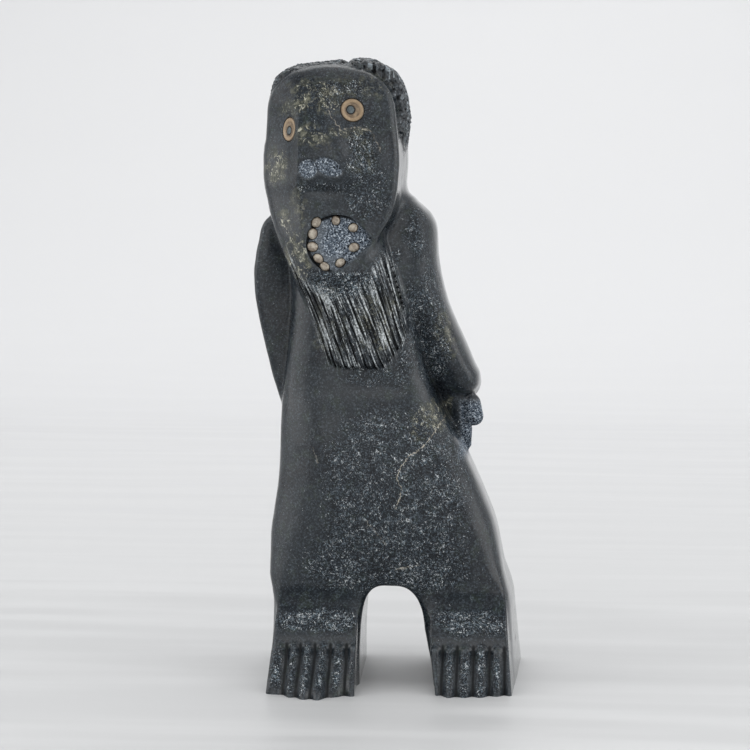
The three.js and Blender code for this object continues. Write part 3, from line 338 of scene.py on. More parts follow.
def head(x, y, z):
    """The largest of the depths from the head's loft, the two planes of the face, the dome and the jaw."""
    flare = 0.065 * np.clip(y + 28, 0, 30)
    f = section(x, y, FACE_LEFT(z), FACE_RIGHT(z) + flare, FACE_FRONT, HEAD_BACK(z), FACE_SQUARE)
    near, far = (near_plane(x, z) - y) / 1.03, (far_plane(x, z) - y) / 1.38
    f = blend_max(f, blend_max(near, far, 2.2 + 14 * ramp(z, 300, 324)), 4.5)
    across, up = np.abs(x - DOME_MIDDLE) / DOME_HALF, np.maximum(z - DOME_SPRING, 0) / DOME_TALL
    f = blend_max(f, ((across ** DOME_POWER + up ** DOME_POWER) ** (1 / DOME_POWER) - 1) * 32, 5)
    return blend_max(f, JAW + 0.1 * (x + 30) - z, 6)


def nostril(x, z, place):
    """How far (x, z) is from a nostril's middle, as a share of its oval's radius."""
    px, pz, a, b, tilt = place
    u = (x - px) * np.cos(tilt) + (z - pz) * np.sin(tilt)
    v = -(x - px) * np.sin(tilt) + (z - pz) * np.cos(tilt)
    return np.hypot(u / a, v / b)


# The hair: a cap left standing proud of the head and tooled all over with a gouge.
# The strokes run down from the crown in rings, each deepest where the gouge went in.
HAIR_LEFT = profile([
    (240, -54), (262, -59), (300, -60.8), (314, -61), (321, -60.2), (327, -57.6), (334, -51.5)])
HAIR_RIGHT = profile([
    (240, 2), (262, 7.2), (280, 9), (287, 9.6), (298, 11.2), (306, 11.8), (316, 10.8), (324, 8.6),
    (331, 4.5), (336, -3)])
HAIR_BACK = profile([(240, 30), (262, 35), (290, 38), (320, 37), (336, 30)])
HAIR_TOP, HAIR_FRONT, HAIR_HEM, HAIR_NAPE = 338.2, -44, 281.5, 252
CROWN_X, CROWN_Y, CROWN_Z = -24, 6, 326
STROKE_LONG, STROKE_WIDE, STROKE_DEEP, STROKE_STAGGER = 10.0, 6.4, 1.7, 0.37
FINE_STROKES = [(5.6, 3.3, 1.0, 21), (3.4, 2.2, 0.4, 25)]  # length, width, share of the depth, seed
FINE_DEEPER = 1.4
PARTING_X, PARTING_WIDE, PARTING_DEEP = -20.5, 1.8, 2.2


def stroke(x, y, z, fine):
    """Rows of gouge strokes round the crown: 1 in the bed of a stroke, 0 on its edge.

    The row is the distance from the crown over the stroke's length, and the stroke in its row is the
    bearing times the row's count. A parabola gives the bed across, and it rises along the stroke.
    Finely, the strokes are half as long, each has its own depth, and slow noise pushes them about.
    """
    dx, dy = x - CROWN_X, y - CROWN_Y
    away = np.hypot(dx, dy) + 1.15 * np.maximum(CROWN_Z - z, 0)
    turn = (np.arctan2(dy, dx) + 0.006 * away) / (2 * np.pi)
    if not fine:
        row = np.floor(away / STROKE_LONG)
        along = away / STROKE_LONG - row
        count = np.clip(np.round(2 * np.pi * (row + 0.6) * STROKE_LONG / STROKE_WIDE), 5, 46)
        part = (turn + STROKE_STAGGER * row) * count
        across = np.abs(part - np.floor(part) - 0.5) * 2
        return (1 - across ** 2) * (1 - 0.65 * along)
    bed = 0
    for long, wide, deep, seed in FINE_STROKES:
        far = away + 0.3 * long * noise(x, y, z, 9, seed)
        row = np.floor(far / long)
        along = far / long - row
        count = np.clip(np.round(2 * np.pi * (row + 0.6) * long / wide), 5, 300 / wide)
        part = (turn + STROKE_STAGGER * row) * count + 0.8 * noise(x, y, z, 8, seed + 1)
        chance = lattice(np.mod(np.floor(part), count), row, 0, seed)
        part = part + (chance - 0.5) * 0.8 * along
        across = np.abs(part - np.floor(part) - 0.5) * 2
        bed = bed + deep * (1 - across ** 2) * (1 - 0.75 * along) * (0.35 + 0.85 * chance)
    return bed


def hair(x, y, z, fine):
    """The loft of the cap, cut by its top, fringe and hem, less the strokes and the notch of the parting."""
    f = section(x, y, HAIR_LEFT(z), HAIR_RIGHT(z), HAIR_FRONT, HAIR_BACK(z), 4.6)
    f = blend_max(f, z - (HAIR_TOP - 0.1 * np.abs(x + 14) - 0.0045 * (y - 2) ** 2), 6)
    front = -29.5 + 0.1 * (x + 28) + 0.006 * (x + 28) ** 2 - y + 0.12 * np.maximum(300 - z, 0)
    f = blend_max(f, front, 3)
    f = blend_max(f, np.maximum(HAIR_HEM - 0.9 * np.maximum(y - 3, 0), HAIR_NAPE) - z, 3)
    f = f + STROKE_DEEP * (FINE_DEEPER if fine else 1) * stroke(x, y, z, fine) * ramp(-f, -3, 0.5) - 0.6
    return f + PARTING_DEEP * bell(x, PARTING_X, PARTING_WIDE) * ramp(z, 322, 334) * ramp(-y, -25, -5)


# The beard and the open mouth. The beard is a raised apron with filed lines from chin to hem.
# The mouth is sunk with a rough floor, and a smooth ledge of gum runs round its left side.
BEARD_LEFT = profile([
    (168, -26), (173.4, -28.2), (182, -32), (194, -36.2), (208.5, -42.6), (221, -47.4), (235, -51.5),
    (242, -54)])
BEARD_RIGHT = profile([
    (168, 1), (173, 3), (177, 5.5), (181, 8.2), (186, 11.2), (193, 12.4), (205, 11.4), (224, 6.6),
    (240, 1.5), (248, 1)])
BEARD_FRONT = profile([(168, -34), (176, -36), (195, -39), (208, -42), (214, -44), (222, -46), (245, -44)])
BEARD_LINES, SCRATCHES = 16, 36
LINE_DEEP, LINE_HALF, SCRATCH_DEEP, SCRATCH_HALF = 1.4, 1.0, 0.5, 0.55
LINE_FOOT_Z, LINE_CURL = 205, 0.0007
MOUTH_X, MOUTH_Z, MOUTH_FLOOR = -22.8, 239.2, -42
MOUTH_LEFT, MOUTH_RIGHT, MOUTH_TALL = 15.4, 20.2, 15


def beard_hem(x):
    """Height of the beard's lower edge, lowest in the middle."""
    return 172.2 + 0.016 * np.maximum(x + 6, 0) ** 2 + 0.006 * np.maximum(-14 - x, 0) ** 2


def beard_top(x):
    """Height where the filed lines begin, under the mouth: a parabola."""
    return 211 + 0.034 * (x + 24) ** 2


def beard_line(u):
    """Foot and lean of the filed line at u, -1 at the left edge and 1 at the right."""
    c = -13 + 26.5 * (0.55 * u + 0.45 * np.sin(np.pi / 2 * u))
    return c, 0.36 - 0.12 * ramp(c, -8, 12)


def line_x(foot, lean, z):
    """Where a filed line is at height z: its foot, less its lean and a slight curl."""
    return foot - lean * (z - LINE_FOOT_Z) - LINE_CURL * (z - LINE_FOOT_Z) ** 2


def beard_cut(x, y, z, fine):
    """Depth that the file took: a V for each line, and thinner scratches between them."""
    on = ramp(beard_top(x) - z, -1, 6) * ramp(z - beard_hem(x), -2, 0) * ramp(-y, 12, 24)
    on = on * ramp(x - BEARD_LEFT(z), 0, 1) * ramp(BEARD_RIGHT(z) - x, 0, 1.4)
    cut = np.zeros_like(x)
    for k in range(BEARD_LINES):
        c, lean = beard_line((k + 0.5) / BEARD_LINES * 2 - 1)
        off = np.abs(x - line_x(c, lean, z))
        cut = np.maximum(cut, LINE_DEEP * np.maximum(1 - off / LINE_HALF, 0))
    if fine:
        for k in range(SCRATCHES):
            c, lean = beard_line((k + 0.2) / (SCRATCHES / 2) - 1)
            c, lean = c + 0.8 * np.sin(7.0 * k), lean + 0.02 * np.sin(5.0 * k)
            off = np.abs(x - line_x(c, lean, z))
            reach = ramp(z + 14 * np.sin(3.0 * k), 168, 180) * ramp(-z + 12 * np.sin(4.0 * k), -226, -206)
            cut = np.maximum(cut, SCRATCH_DEEP * reach * np.maximum(1 - off / SCRATCH_HALF, 0))
    return cut * on


def beard(x, y, z):
    """The loft of the apron, cut off along its hem and under the lips."""
    f = section(x, y, BEARD_LEFT(z), BEARD_RIGHT(z), BEARD_FRONT(z), 10, 2.7)
    f = blend_max(f, beard_hem(x) - z, 3)
    return blend_max(f, z - 246, 10)


def mouth_edge(x, z):
    """Flat distance from the mouth's outline: round, drawn out to a corner on the right."""
    dx, dz = x - MOUTH_X, z - MOUTH_Z
    across = (dx + 0.4) / np.where(dx > 0, MOUTH_RIGHT, MOUTH_LEFT)
    round_part = (np.hypot(across, (dz + 0.5) / MOUTH_TALL) - 1) * MOUTH_TALL
    e = blend_max(round_part, 0.66 * dx - 0.75 * dz - 12.3, 3)
    return blend_max(e, 0.75 * dx + 0.66 * dz - 15.4, 3)


def gum_side(x, z):
    """1 on the left of the mouth, where the ledge of gum is, and 0 on the right."""
    return ramp(MOUTH_X - 1.5 - x - 0.5 * (z - MOUTH_Z), -5, 4)


def mouth(x, y, z, fine):
    """The hollow: inside the outline and in front of the floor, which two sizes of noise tear up."""
    e = mouth_edge(x, z)
    side = gum_side(x, z)
    floor = MOUTH_FLOOR + 0.12 * (x - MOUTH_X) - 1.5 * ramp(e, -9.5, -6) * side
    if fine:
        floor = floor - (0.45 * noise(x, y, z, 2.6, 11) + 0.3 * noise(x, y, z, 1.3, 12)) * (1 - 0.8 * side)
    return blend_max(e, y - floor, 1.2)


# The whole stone as one mesh: the form is sampled near its skin, drawn cell by cell, pulled onto
# the finely tooled form, thinned where it is plain, and cut flat under the feet.
NOSTRIL_DEEP, SLOW_HILLS, SMALL_HILLS = 0.9, 0.16, 0.07


def stone(x, y, z, fine=False):
    """Depth of the whole figure: its parts joined with a soft corner where the carver left one.

    Each part is worked out only at the heights that it reaches.
    """
    hole = arch(x, y, z)
    f = blend_max(trunk(x, y, z), -hole, 5)
    m = z < 75
    f[m] = blend_min(f[m], blend_max(feet(x[m], y[m], z[m], fine), -hole[m], 1.5), 5)
    m = z > 120
    p = x[m], y[m], z[m]
    g = blend_min(f[m], left_arm(*p), 1.5)
    f[m] = blend_min(g, right_arm(*p), 2 + 14 * ramp(p[2], 188, 214))
    m = (z > 115) & (z < 190)
    f[m] = blend_min(f[m], hands(x[m], y[m], z[m]), 3)
    m = z > 150
    p = x[m], y[m], z[m]
    g = blend_min(f[m], beard(*p), 2.5)
    g = blend_min(g, blend_min(head(*p), hair(*p, fine), 1.2), 5)
    g = blend_max(g, -mouth(*p, fine), 0.8)
    for place in NOSTRILS:
        g = g + NOSTRIL_DEEP * ramp(1.12 - nostril(p[0], p[2], place), 0, 0.2) * ramp(-p[1], 44, 48)
    f[m] = g + beard_cut(*p, fine)
    if fine:
        f = f + SLOW_HILLS * noise(x, y, z, 15, 1) + SMALL_HILLS * noise(x, y, z, 5, 2)
    return np.maximum(f, -4 - z)


def skin(form, low, high, step):
    """The zero skin of a form as points and quads.

    The form is read finely in blocks near its skin only. Each cell that the skin crosses has one
    point, the mean of the crossings on its edges, and each crossed edge joins the four cells round it
    in a quad. A cell face whose corners change sign like a chessboard would join four quads on one
    edge, so the corner nearest to zero changes sides first.
    """
    block = 4
    size = step * block
    n = np.ceil((np.asarray(high) - low) / size).astype(int)
    grid = np.meshgrid(*[low[a] + (np.arange(n[a]) + 0.5) * size for a in range(3)], indexing="ij")
    coarse = form(*[g.ravel() for g in grid]).reshape(n).astype(np.float32)
    spread = coarse.repeat(block, 0).repeat(block, 1).repeat(block, 2)
    near = np.abs(spread) < 1.45 * size + 0.8
    value = np.pad(spread, ((0, 1), (0, 1), (0, 1)), mode="edge")
    need = np.zeros(value.shape, bool)
    for a in (0, 1):
        for b in (0, 1):
            for c in (0, 1):
                need[a:a + near.shape[0], b:b + near.shape[1], c:c + near.shape[2]] |= near
    at = np.nonzero(need)
    value[at] = form(*[low[a] + at[a] * step for a in range(3)])
    for turn in range(9):
        v = np.moveaxis(value, ((0, 1), (0, 2), (1, 2))[turn % 3], (0, 1))
        s = v < 0
        odd = (s[:-1, :-1] == s[1:, 1:]) & (s[1:, :-1] == s[:-1, 1:]) & (s[:-1, :-1] != s[1:, :-1])
        i, j, k = np.nonzero(odd)
        corner = np.abs(np.stack([v[i, j, k], v[i + 1, j, k], v[i + 1, j + 1, k], v[i, j + 1, k]])).argmin(0)
        i, j = i + np.isin(corner, (1, 2)), j + np.isin(corner, (2, 3))
        v[i, j, k] = -np.sign(v[i, j, k]) * 0.01
    flat = value.ravel()
    inside = flat < 0
    stride = np.array([value.shape[1] * value.shape[2], value.shape[2], 1])
    index = np.ravel_multi_index(at, value.shape)
    place = np.stack(at, 1).astype(float)
    count = np.zeros(flat.size, np.uint8)
    sums = np.zeros((3, flat.size), np.float32)
    quads = []
    for a in range(3):
        ok = place[:, a] < value.shape[a] - 1
        p = index[ok]
        q = p + stride[a]
        cross = inside[p] != inside[q]
        p, q, spot = p[cross], q[cross], place[ok][cross]
        spot[:, a] += flat[p] / (flat[p] - flat[q])
        b, c = stride[(a + 1) % 3], stride[(a + 2) % 3]
        ring = [p, p - b, p - b - c, p - c]
        for cell in ring:
            count += np.bincount(cell, minlength=flat.size).astype(np.uint8)
            for axis in range(3):
                sums[axis] += np.bincount(cell, spot[:, axis], flat.size)
        quad = np.stack(ring, 1)
        quads.append(np.where(inside[p][:, None], quad, quad[:, ::-1]))
    used = np.nonzero(count)[0]
    points = low + (sums[:, used] / count[used]).T * step
    name = np.zeros(flat.size, np.int32)
    name[used] = np.arange(len(used))
    return points, name[np.concatenate(quads)]


def settle(form, points, rounds=3, reach=0.15):
    """Moves points onto the form's zero along its slope: p minus f times the gradient over its square."""
    p = points.copy()
    for _ in range(rounds):
        f = form(*p.T)
        slope = np.stack([form(*(p + np.eye(3)[a] * reach).T) - f for a in range(3)], 1) / reach
        move = slope * (f / np.maximum((slope ** 2).sum(1), 0.15))[:, None]
        length = np.linalg.norm(move, axis=1, keepdims=True)
        p -= move * np.minimum(1, 0.7 / np.maximum(length, 1e-9))
    return p


def mesh_of(name, points, faces):
    """An object at the origin from points in millimetres round the arch's axis, and lists of faces."""
    mesh = bpy.data.meshes.new(name)
    places = ((np.asarray(points) - MIDDLE) / 1000).astype(np.float32)
    if isinstance(faces, np.ndarray):
        wide = faces.shape[1]
        mesh.vertices.add(len(places))
        mesh.vertices.foreach_set("co", places.ravel())
        mesh.loops.add(faces.size)
        mesh.loops.foreach_set("vertex_index", faces.astype(np.int32).ravel())
        mesh.polygons.add(len(faces))
        mesh.polygons.foreach_set("loop_start", np.arange(0, faces.size, wide, dtype=np.int32))
    else:
        mesh.from_pydata(places.tolist(), [], faces)
    mesh.update(calc_edges=True)
    mesh.shade_smooth()
    made = bpy.data.objects.new(name, mesh)
    bpy.context.scene.collection.objects.link(made)
    return made


def bake_modifiers(piece):
    """Puts the piece's modifiers into its mesh."""
    seen = piece.evaluated_get(bpy.context.evaluated_depsgraph_get())
    mesh = bpy.data.meshes.new_from_object(seen)
    piece.modifiers.clear()
    old, piece.data = piece.data, mesh
    bpy.data.meshes.remove(old)


def spun(outline, at, out, sides, wide=1.0, tall=1.0, roll=0.0, shift=0.0, ripple=0.0, seed=0):
    """Points and faces of a closed turned body.

    The ring of radius r at height h is at + h*out + r*(cos(a)*wide*u + sin(a)*tall*v), where u and v
    are X and Y carried along as Z turns onto out, after the roll. Each radius may ripple by a few
    slow sines, and one flat face closes each end.
    """
    out = np.asarray(out, float) / np.linalg.norm(out)
    axis = np.array([-out[1], out[0], 0.0])
    k = np.array([[0, 0, axis[1]], [0, 0, -axis[0]], [-axis[1], axis[0], 0]])
    turn = np.eye(3) + k + k @ k / (1 + out[2])
    a = np.linspace(0, 2 * np.pi, sides, endpoint=False)
    r, h = np.asarray(outline, float).T[:, :, None]
    waves = np.sin(2 * a + seed) + 0.7 * np.sin(3 * a + 2.3 * seed + h) + 0.4 * np.sin(5 * a + 4.1 * seed)
    bump = 1 + ripple * waves
    p, q = r * bump * np.cos(a) * wide + shift, r * bump * np.sin(a) * tall
    c, s = np.cos(roll), np.sin(roll)
    local = np.stack([c * p - s * q, s * p + c * q, h + 0 * p], -1)
    points = (local @ turn.T + at).reshape(-1, 3)
    i, j = np.meshgrid(np.arange(len(outline) - 1), np.arange(sides), indexing="ij")
    n = (j + 1) % sides
    quads = np.stack([i * sides + j, i * sides + n, (i + 1) * sides + n, (i + 1) * sides + j], -1)
    ring = np.arange(sides)
    ends = [ring[::-1].tolist(), (ring + (len(outline) - 1) * sides).tolist()]
    return points, quads.reshape(-1, 4).tolist() + ends


def face_depth(x, z):
    """Depth of the face's two planes, whichever is cut back further, at one place or many."""
    x, z = np.atleast_1d(x), np.atleast_1d(z)
    return np.maximum(near_plane(x, z), far_plane(x, z))


def halve(still, low, high, rounds=40):
    """Where a test that holds at low stops holding on the way to high, found by halving what is left."""
    for _ in range(rounds):
        middle = (low + high) / 2
        yes = still(middle)
        low, high = np.where(yes, middle, low), np.where(yes, high, middle)
    return low


def seat(x, z):
    """The point of the face's skin at (x, z), and the way out of the stone there."""
    low = halve(lambda y: head(np.array([x]), y, np.array([z])) > 0, np.array([-70.0]), np.array([-20.0]))
    reach = 2.5
    front = face_depth(x + np.array([reach, -reach, 0, 0]), z + np.array([0, 0, reach, -reach]))
    lean = (front[0::2] - front[1::2]) / (2 * reach)
    return np.array([x, low[0], z]), np.array([lean[0], -1, lean[1]])


GAP = 0.3
EYES = {"near": (-15.4, 308.6), "far": (-48.0, 298.6)}
EYE_RADIUS, EYE_TOP, EYE_FOOT = 6.3, 0.6, -2.4
# Each tooth's middle (x, z), width, height and turn in degrees, then how every peg is shaped.
TEETH = [
    (-33.5, 249.8, 4.9, 6.2, -25), (-35.3, 243.8, 5.1, 6.0, -10), (-35.3, 237.2, 5.8, 5.2, 0),
    (-32.4, 231.2, 5.9, 4.4, -30), (-29.2, 227.0, 5.7, 4.4, -35), (-21.2, 228.9, 5.6, 4.3, 30),
    (-14.4, 236.8, 5.3, 4.8, 10), (-14.7, 246.9, 4.9, 4.7, 20), (-23.5, 250.6, 4.3, 5.0, 0)]
TOOTH_LONG, TOOTH_SUNK, TOOTH_LEAN, SOCKET_SIDES = 8.1, 0.5, 0.012, 24
TOOTH_RADII = [0.40, 0.48, 0.5, 0.5, 0.485, 0.44, 0.36, 0.24, 0.12, 0.03]
TOOTH_RISE = np.array([0, 0.5 / TOOTH_LONG, 0.3, 0.75, 0.83, 0.9, 0.95, 0.985, 0.997, 1])


def tooth(place, extra, sides, ripple=0.0, seed=0):
    """A peg from its root to a domed tip, leaning towards the middle of the mouth, or its socket."""
    x, z, wide, tall, roll = place
    outline = np.stack([TOOTH_RADII, TOOTH_RISE * TOOTH_LONG], 1)
    if extra:
        outline = [(0.5, -extra), (0.5, TOOTH_LONG + 3)]
    lean = np.array([(MOUTH_X - x) * TOOTH_LEAN, -1, (MOUTH_Z - z) * TOOTH_LEAN])
    lean /= np.linalg.norm(lean)
    foot = np.array([x, face_depth(x, z)[0] + TOOTH_SUNK, z]) - lean * TOOTH_LONG
    wide, tall = wide + 2 * extra, tall + 2 * extra
    return spun(outline, foot, lean, sides, wide, tall, np.radians(roll), 0.0, ripple, seed)


AROUND = np.array([[-78.0, -76.0, -6.0], [80.0, 50.0, 344.0]])
CELL = 0.72
MOST_TRIANGLES, INSIDE_BY = 190000, 0.05
points, faces = skin(stone, AROUND[0], AROUND[1], CELL)
points = settle(lambda x, y, z: stone(x, y, z, True), points)
room = np.array(cad_box) * 1000 + MIDDLE
points = np.clip(points, [*(room[0, :2] + INSIDE_BY), -9], room[1] - INSIDE_BY)
carving = mesh_of("carved_stone", points, faces)
thin = carving.modifiers.new("thin", "DECIMATE")
thin.ratio = min(1, MOST_TRIANGLES / (2 * len(faces)))
bake_modifiers(carving)

ground = np.array([[x, y, z] for x in (-150, 150) for y in (-150, 150) for z in (-30, 0)], float)
cuts = [(ground, [[0, 1, 3, 2], [4, 6, 7, 5], [0, 4, 5, 1], [2, 3, 7, 6], [0, 2, 6, 4], [1, 5, 7, 3]])]
pocket = [(EYE_RADIUS + GAP, EYE_FOOT - GAP), (EYE_RADIUS + GAP, 9)]
cuts += [spun(pocket, *seat(x, z), 64) for x, z in EYES.values()]
cuts += [tooth(place, GAP, SOCKET_SIDES) for place in TEETH]
tools = [mesh_of("cut", *cut) for cut in cuts]
for tool in tools:
    cut = carving.modifiers.new("cut", "BOOLEAN")
    cut.object, cut.operation, cut.solver = tool, "DIFFERENCE", "MANIFOLD"
bake_modifiers(carving)
for tool in tools:
    bpy.data.meshes.remove(tool.data)
carving.data.shade_smooth()
carving.data.set_sharp_from_angle(angle=np.radians(48))


# What the carver's tools and the stone itself leave on the skin, and where shade and highlights are painted,
# kept as numbers at each point.
# Each patch is soft: its middle x and z, half width, half height and strength, in millimetres.
FROST = [
    (7, 102, 42, 53, 0.8), (2, 66, 48, 17, 0.8), (-4, 166, 19, 5, 0.7), (13, 192, 7, 25, 0.75),
    (17, 243, 6, 15, 0.8), (26, 195, 9, 38, 0.8), (-63, 205, 8, 36, 0.4), (-9.2, 286, 10, 12, 0.9),
    (-6, 265, 12, 16, 0.75), (-31, 267.5, 15, 3.5, 0.7), (-18, 217, 21, 9, 1.0), (-14, 192, 21, 20, 0.7),
    (2, 226, 7, 9, 0.8), (-36, 13, 25, 11.5, 1.0), (50, 13, 21, 11.5, 1.0), (-36, 36, 24, 6, 0.95),
    (48, 36, 20, 6, 0.95), (-50, 303, 9, 7, 0.5), (-22, 318, 13, 8, 0.7), (-20, 305, 22, 16, 0.45),
    (42, 140, 9, 14, 0.5)]
OLIVE = [
    (-34, 316, 15, 9, 1.0), (-46, 312, 8, 9, 0.6), (-37, 295, 8, 4, 0.9), (-30, 293, 5, 4, 0.7),
    (-56, 279, 8, 10, 1.0), (-45, 232, 7, 11, 1.0), (-51, 249, 5, 7, 0.9), (-40, 228, 5, 10, 0.9),
    (-2, 197, 11, 16, 0.7), (-30, 200, 9, 16, 0.6), (25.6, 144, 9, 8, 1.0), (-15, 296, 11, 2.5, 0.9),
    (-12, 322, 14, 6, 0.6), (33, 189, 5, 12, 0.7), (-9, 287, 8, 10, 0.5), (-42, 256, 4, 13, 0.6)]
DULL = [
    (-36, 46, 26, 8, 0.9), (50, 45, 24, 8, 0.9), (25, 236, 10, 12, 0.5), (-22, 256, 24, 5, 0.5),
    (-44, 306, 18, 26, 0.7), (-20, 318, 26, 12, 0.4), (-8, 170, 40, 8, 0.25)]
VEINS = [[(39.1, 152.1), (32.1, 144), (29.3, 139.8), (25.7, 135), (23, 131.8), (20.4, 129.2), (17.2, 127),
          (14, 124.8), (11.3, 121), (9.2, 117.4), (7.9, 113.6), (10.4, 109.4), (10.4, 105.1), (8.9, 99.9),
          (7.8, 98.2)],
         [(-27.8, 309), (-24.5, 303), (-20.5, 298.1), (-15, 299.5), (-9.7, 299.2), (-4.5, 297.1),
          (-2.9, 292.9), (-0.3, 287.7)],
         [(7.8, 64), (13, 64.8), (19, 66.3)], [(-8, 90), (2, 78)], [(-37, 128), (-34.5, 121)]]
VEIN_PALE = [0.8, 0.4, 0.6, 0.3, 0.3]
VEIN_REACH = 9
FROST_FRONT, FROST_BACK, FROST_HAIR = 0.36, 0.4, 0.3


def patches(x, y, z, listed):
    """The strongest of the patches at each point: 1 in the middle and 0 outside, with wandering edges."""
    u, v = x + 3.5 * noise(x, y, z, 9, 31), z + 3.5 * noise(x, y, z, 9, 32)
    total = np.zeros_like(x)
    for px, pz, wide, tall, strength in listed:
        q = (np.abs((u - px) / wide) ** 3 + np.abs((v - pz) / tall) ** 3) ** (1 / 3)
        total = np.maximum(total, strength * ramp(1.3 - q, 0, 0.6))
    return total


def vein_offset(x, z):
    """Signed and plain distance to the nearest vein, and how pale that vein is.

    The sign is that of the cross product with the vein's nearest stretch.
    """
    near, signed, pale = np.full(len(x), 99.0), np.full(len(x), 99.0), np.zeros(len(x))
    for line, strength in zip(VEINS, VEIN_PALE):
        for a, b in zip(line[:-1], line[1:]):
            dx, dz = b[0] - a[0], b[1] - a[1]
            t = np.clip(((x - a[0]) * dx + (z - a[1]) * dz) / (dx * dx + dz * dz), 0, 1)
            away = np.hypot(x - a[0] - t * dx, z - a[1] - t * dz)
            side = np.where((x - a[0]) * dz - (z - a[1]) * dx < 0, -1.0, 1.0)
            closer = away < near
            near, signed = np.where(closer, away, near), np.where(closer, away * side, signed)
            pale = np.where(closer, strength, pale)
    return signed, near, pale


def read_mesh(mesh):
    """Points in millimetres round the arch's axis, their normals and the edges' ends."""
    points, normals = np.empty((2, len(mesh.vertices) * 3), np.float32)
    ends = np.empty(len(mesh.edges) * 2, np.int32)
    mesh.vertices.foreach_get("co", points)
    mesh.vertices.foreach_get("normal", normals)
    mesh.edges.foreach_get("vertices", ends)
    points = points.reshape(-1, 3) * 1000.0 + MIDDLE
    return points, normals.reshape(-1, 3).astype(float), ends.reshape(-1, 2)


def bend(points, normals, ends):
    """How sharply the skin bends at each point: above 0 on a ridge and below 0 in a groove.

    The mean, over a point's edges, of the sine between the edge and the plane of the skin.
    """
    step = points[ends[:, 0]] - points[ends[:, 1]]
    step /= np.maximum(np.linalg.norm(step, axis=1, keepdims=True), 1e-6)
    count = np.bincount(ends.ravel(), minlength=len(points))
    total = np.bincount(ends[:, 0], (normals[ends[:, 0]] * step).sum(1), len(points))
    total -= np.bincount(ends[:, 1], (normals[ends[:, 1]] * step).sum(1), len(points))
    return total / np.maximum(count, 1)


def soften(values, ends, rounds=3):
    """Each round, half of a point's value and half of the mean of its neighbours' values."""
    count = np.maximum(np.bincount(ends.ravel(), minlength=len(values)), 1)
    for _ in range(rounds):
        beside = np.bincount(ends[:, 0], values[ends[:, 1]], len(values))
        beside = beside + np.bincount(ends[:, 1], values[ends[:, 0]], len(values))
        values = 0.5 * values + 0.5 * beside / count
    return values


def beard_share(x, z):
    """Where (x, z) lies across the beard's lines, -1 at the left edge and 1 at the right."""
    return halve(lambda u: line_x(*beard_line(u), z) < x, np.full(len(x), -1.4), np.full(len(x), 1.4), 20)


def keep(mesh, name, values):
    """Stores one number for each point of the mesh."""
    mesh.attributes.new(name, "FLOAT", "POINT").data.foreach_set("value", np.asarray(values, np.float32))


points, normals, ends = read_mesh(carving.data)
x, y, z = points.T
facing = ramp(-normals[:, 1], -0.1, 0.35)
edge = mouth_edge(x, z)
by_mouth = ramp(-y, 34, 38) * (z > 215)
inside_mouth = ramp(-edge, -0.6, 1.0) * by_mouth
# A dark band round the inside of the mouth's rim, strongest on the upper left: painted shadow.
mouth_rim_shadow = bell(edge, -0.5, 1.0) * by_mouth * (0.25 + 0.75 * ramp(MOUTH_X - x + 0.4 * (z - MOUTH_Z), -9, 1))
gum = gum_side(x, z) * ramp(-edge, -1, 0.5) * ramp(edge, -9, -6)
nostrils = ramp(1.08 - np.min([nostril(x, z, place) for place in NOSTRILS], axis=0), 0, 0.16)
lobes = ramp(x, 39, 41.5) * ramp(z, 120, 126) * ramp(-z, -154, -149) * ramp(-y, -16, -10)
scrape = np.max([inside_mouth, nostrils * ramp(-y, 40, 44), lobes], axis=0)
in_hair = hair(x, y, z, True)
hair_here = ramp(in_hair, -1.2, -0.2) * ramp(-in_hair, -1.4, -0.7) * ramp(head(x, y, z), 0.2, 0.8) * (z > 246)
toes_here = ramp(27 - z, 0, 3) * facing
grooves = np.maximum(toe_grooves(x, z, LEFT_GROOVES), toe_grooves(x, z, RIGHT_GROOVES))
filed = np.maximum(beard_cut(x, y, z, True) / LINE_DEEP, toes_here * 0.74 * grooves ** 2)
bearded = ramp(beard_top(x) + 1 - z, -3, 5) * ramp(z - beard_hem(x), -2, 1) * facing * (y < -18)
bearded = bearded * ramp(x - BEARD_LEFT(z), -1.5, 1) * ramp(BEARD_RIGHT(z) - x, -1.5, 1)
frost = np.maximum(patches(x, y, z, FROST), FROST_FRONT) * facing * (1 - inside_mouth)
frost = np.max([frost, FROST_BACK * ramp(normals[:, 1], 0.2, 0.7), FROST_HAIR * hair_here], axis=0)
polish = ramp(normals[:, 1], -0.45, -0.1) * ramp(np.abs(normals[:, 0]), 0.3, 0.7)
signed, near, pale = vein_offset(x, z)
in_front = (y < 0) & (normals[:, 1] < 0)
marks = {
    # The frost is taken out of the toe grooves, which leaves them dark: painted shade.
    "frost": frost * (1 - 0.9 * toes_here * grooves),
    "olive": patches(x, y, z, OLIVE) * facing * (1 - scrape),
    "dull": patches(x, y, z, DULL),
    "scrape": scrape,
    "gum": np.maximum(gum * inside_mouth, 0.22 * nostrils * (1 - inside_mouth)),
    "polish": polish * (1 - hair_here) * (1 - lobes),
    # cut holds the filed grooves and the painted shadow round the mouth's rim; the finish paints shade into
    # both.
    "bend": soften(bend(points, normals, ends), ends),
    "cut": np.maximum(filed, mouth_rim_shadow),
    "tooled": hair_here,
    "stroke": stroke(x, y, z, True),
    "bearded": bearded,
    "strand": 8 * beard_share(x, z),
    "vein_pale": pale,
    "vein_across": np.where(in_front, np.clip(signed, -VEIN_REACH, VEIN_REACH), VEIN_REACH),
    "vein_near": np.where(in_front, np.clip(near, 0, VEIN_REACH), VEIN_REACH),
}
for name, values in marks.items():
    keep(carving.data, name, values)

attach(carving, "root")
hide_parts("stone_figure")


# The stone's finish: near-black and polished on the planes, bruised pale by tools, mottled olive and
# cream, with painted shade in the cuts and creases and painted highlights on ridges and crests. It is
# worked out from noise and from the numbers kept at each point.
def fill(tree, made, sockets):
    """Gives each named socket of a new node a link or a value."""
    for key, value in sockets.items():
        if isinstance(value, bpy.types.NodeSocket):
            tree.links.new(value, made.inputs[key])
        else:
            made.inputs[key].default_value = value
    return made


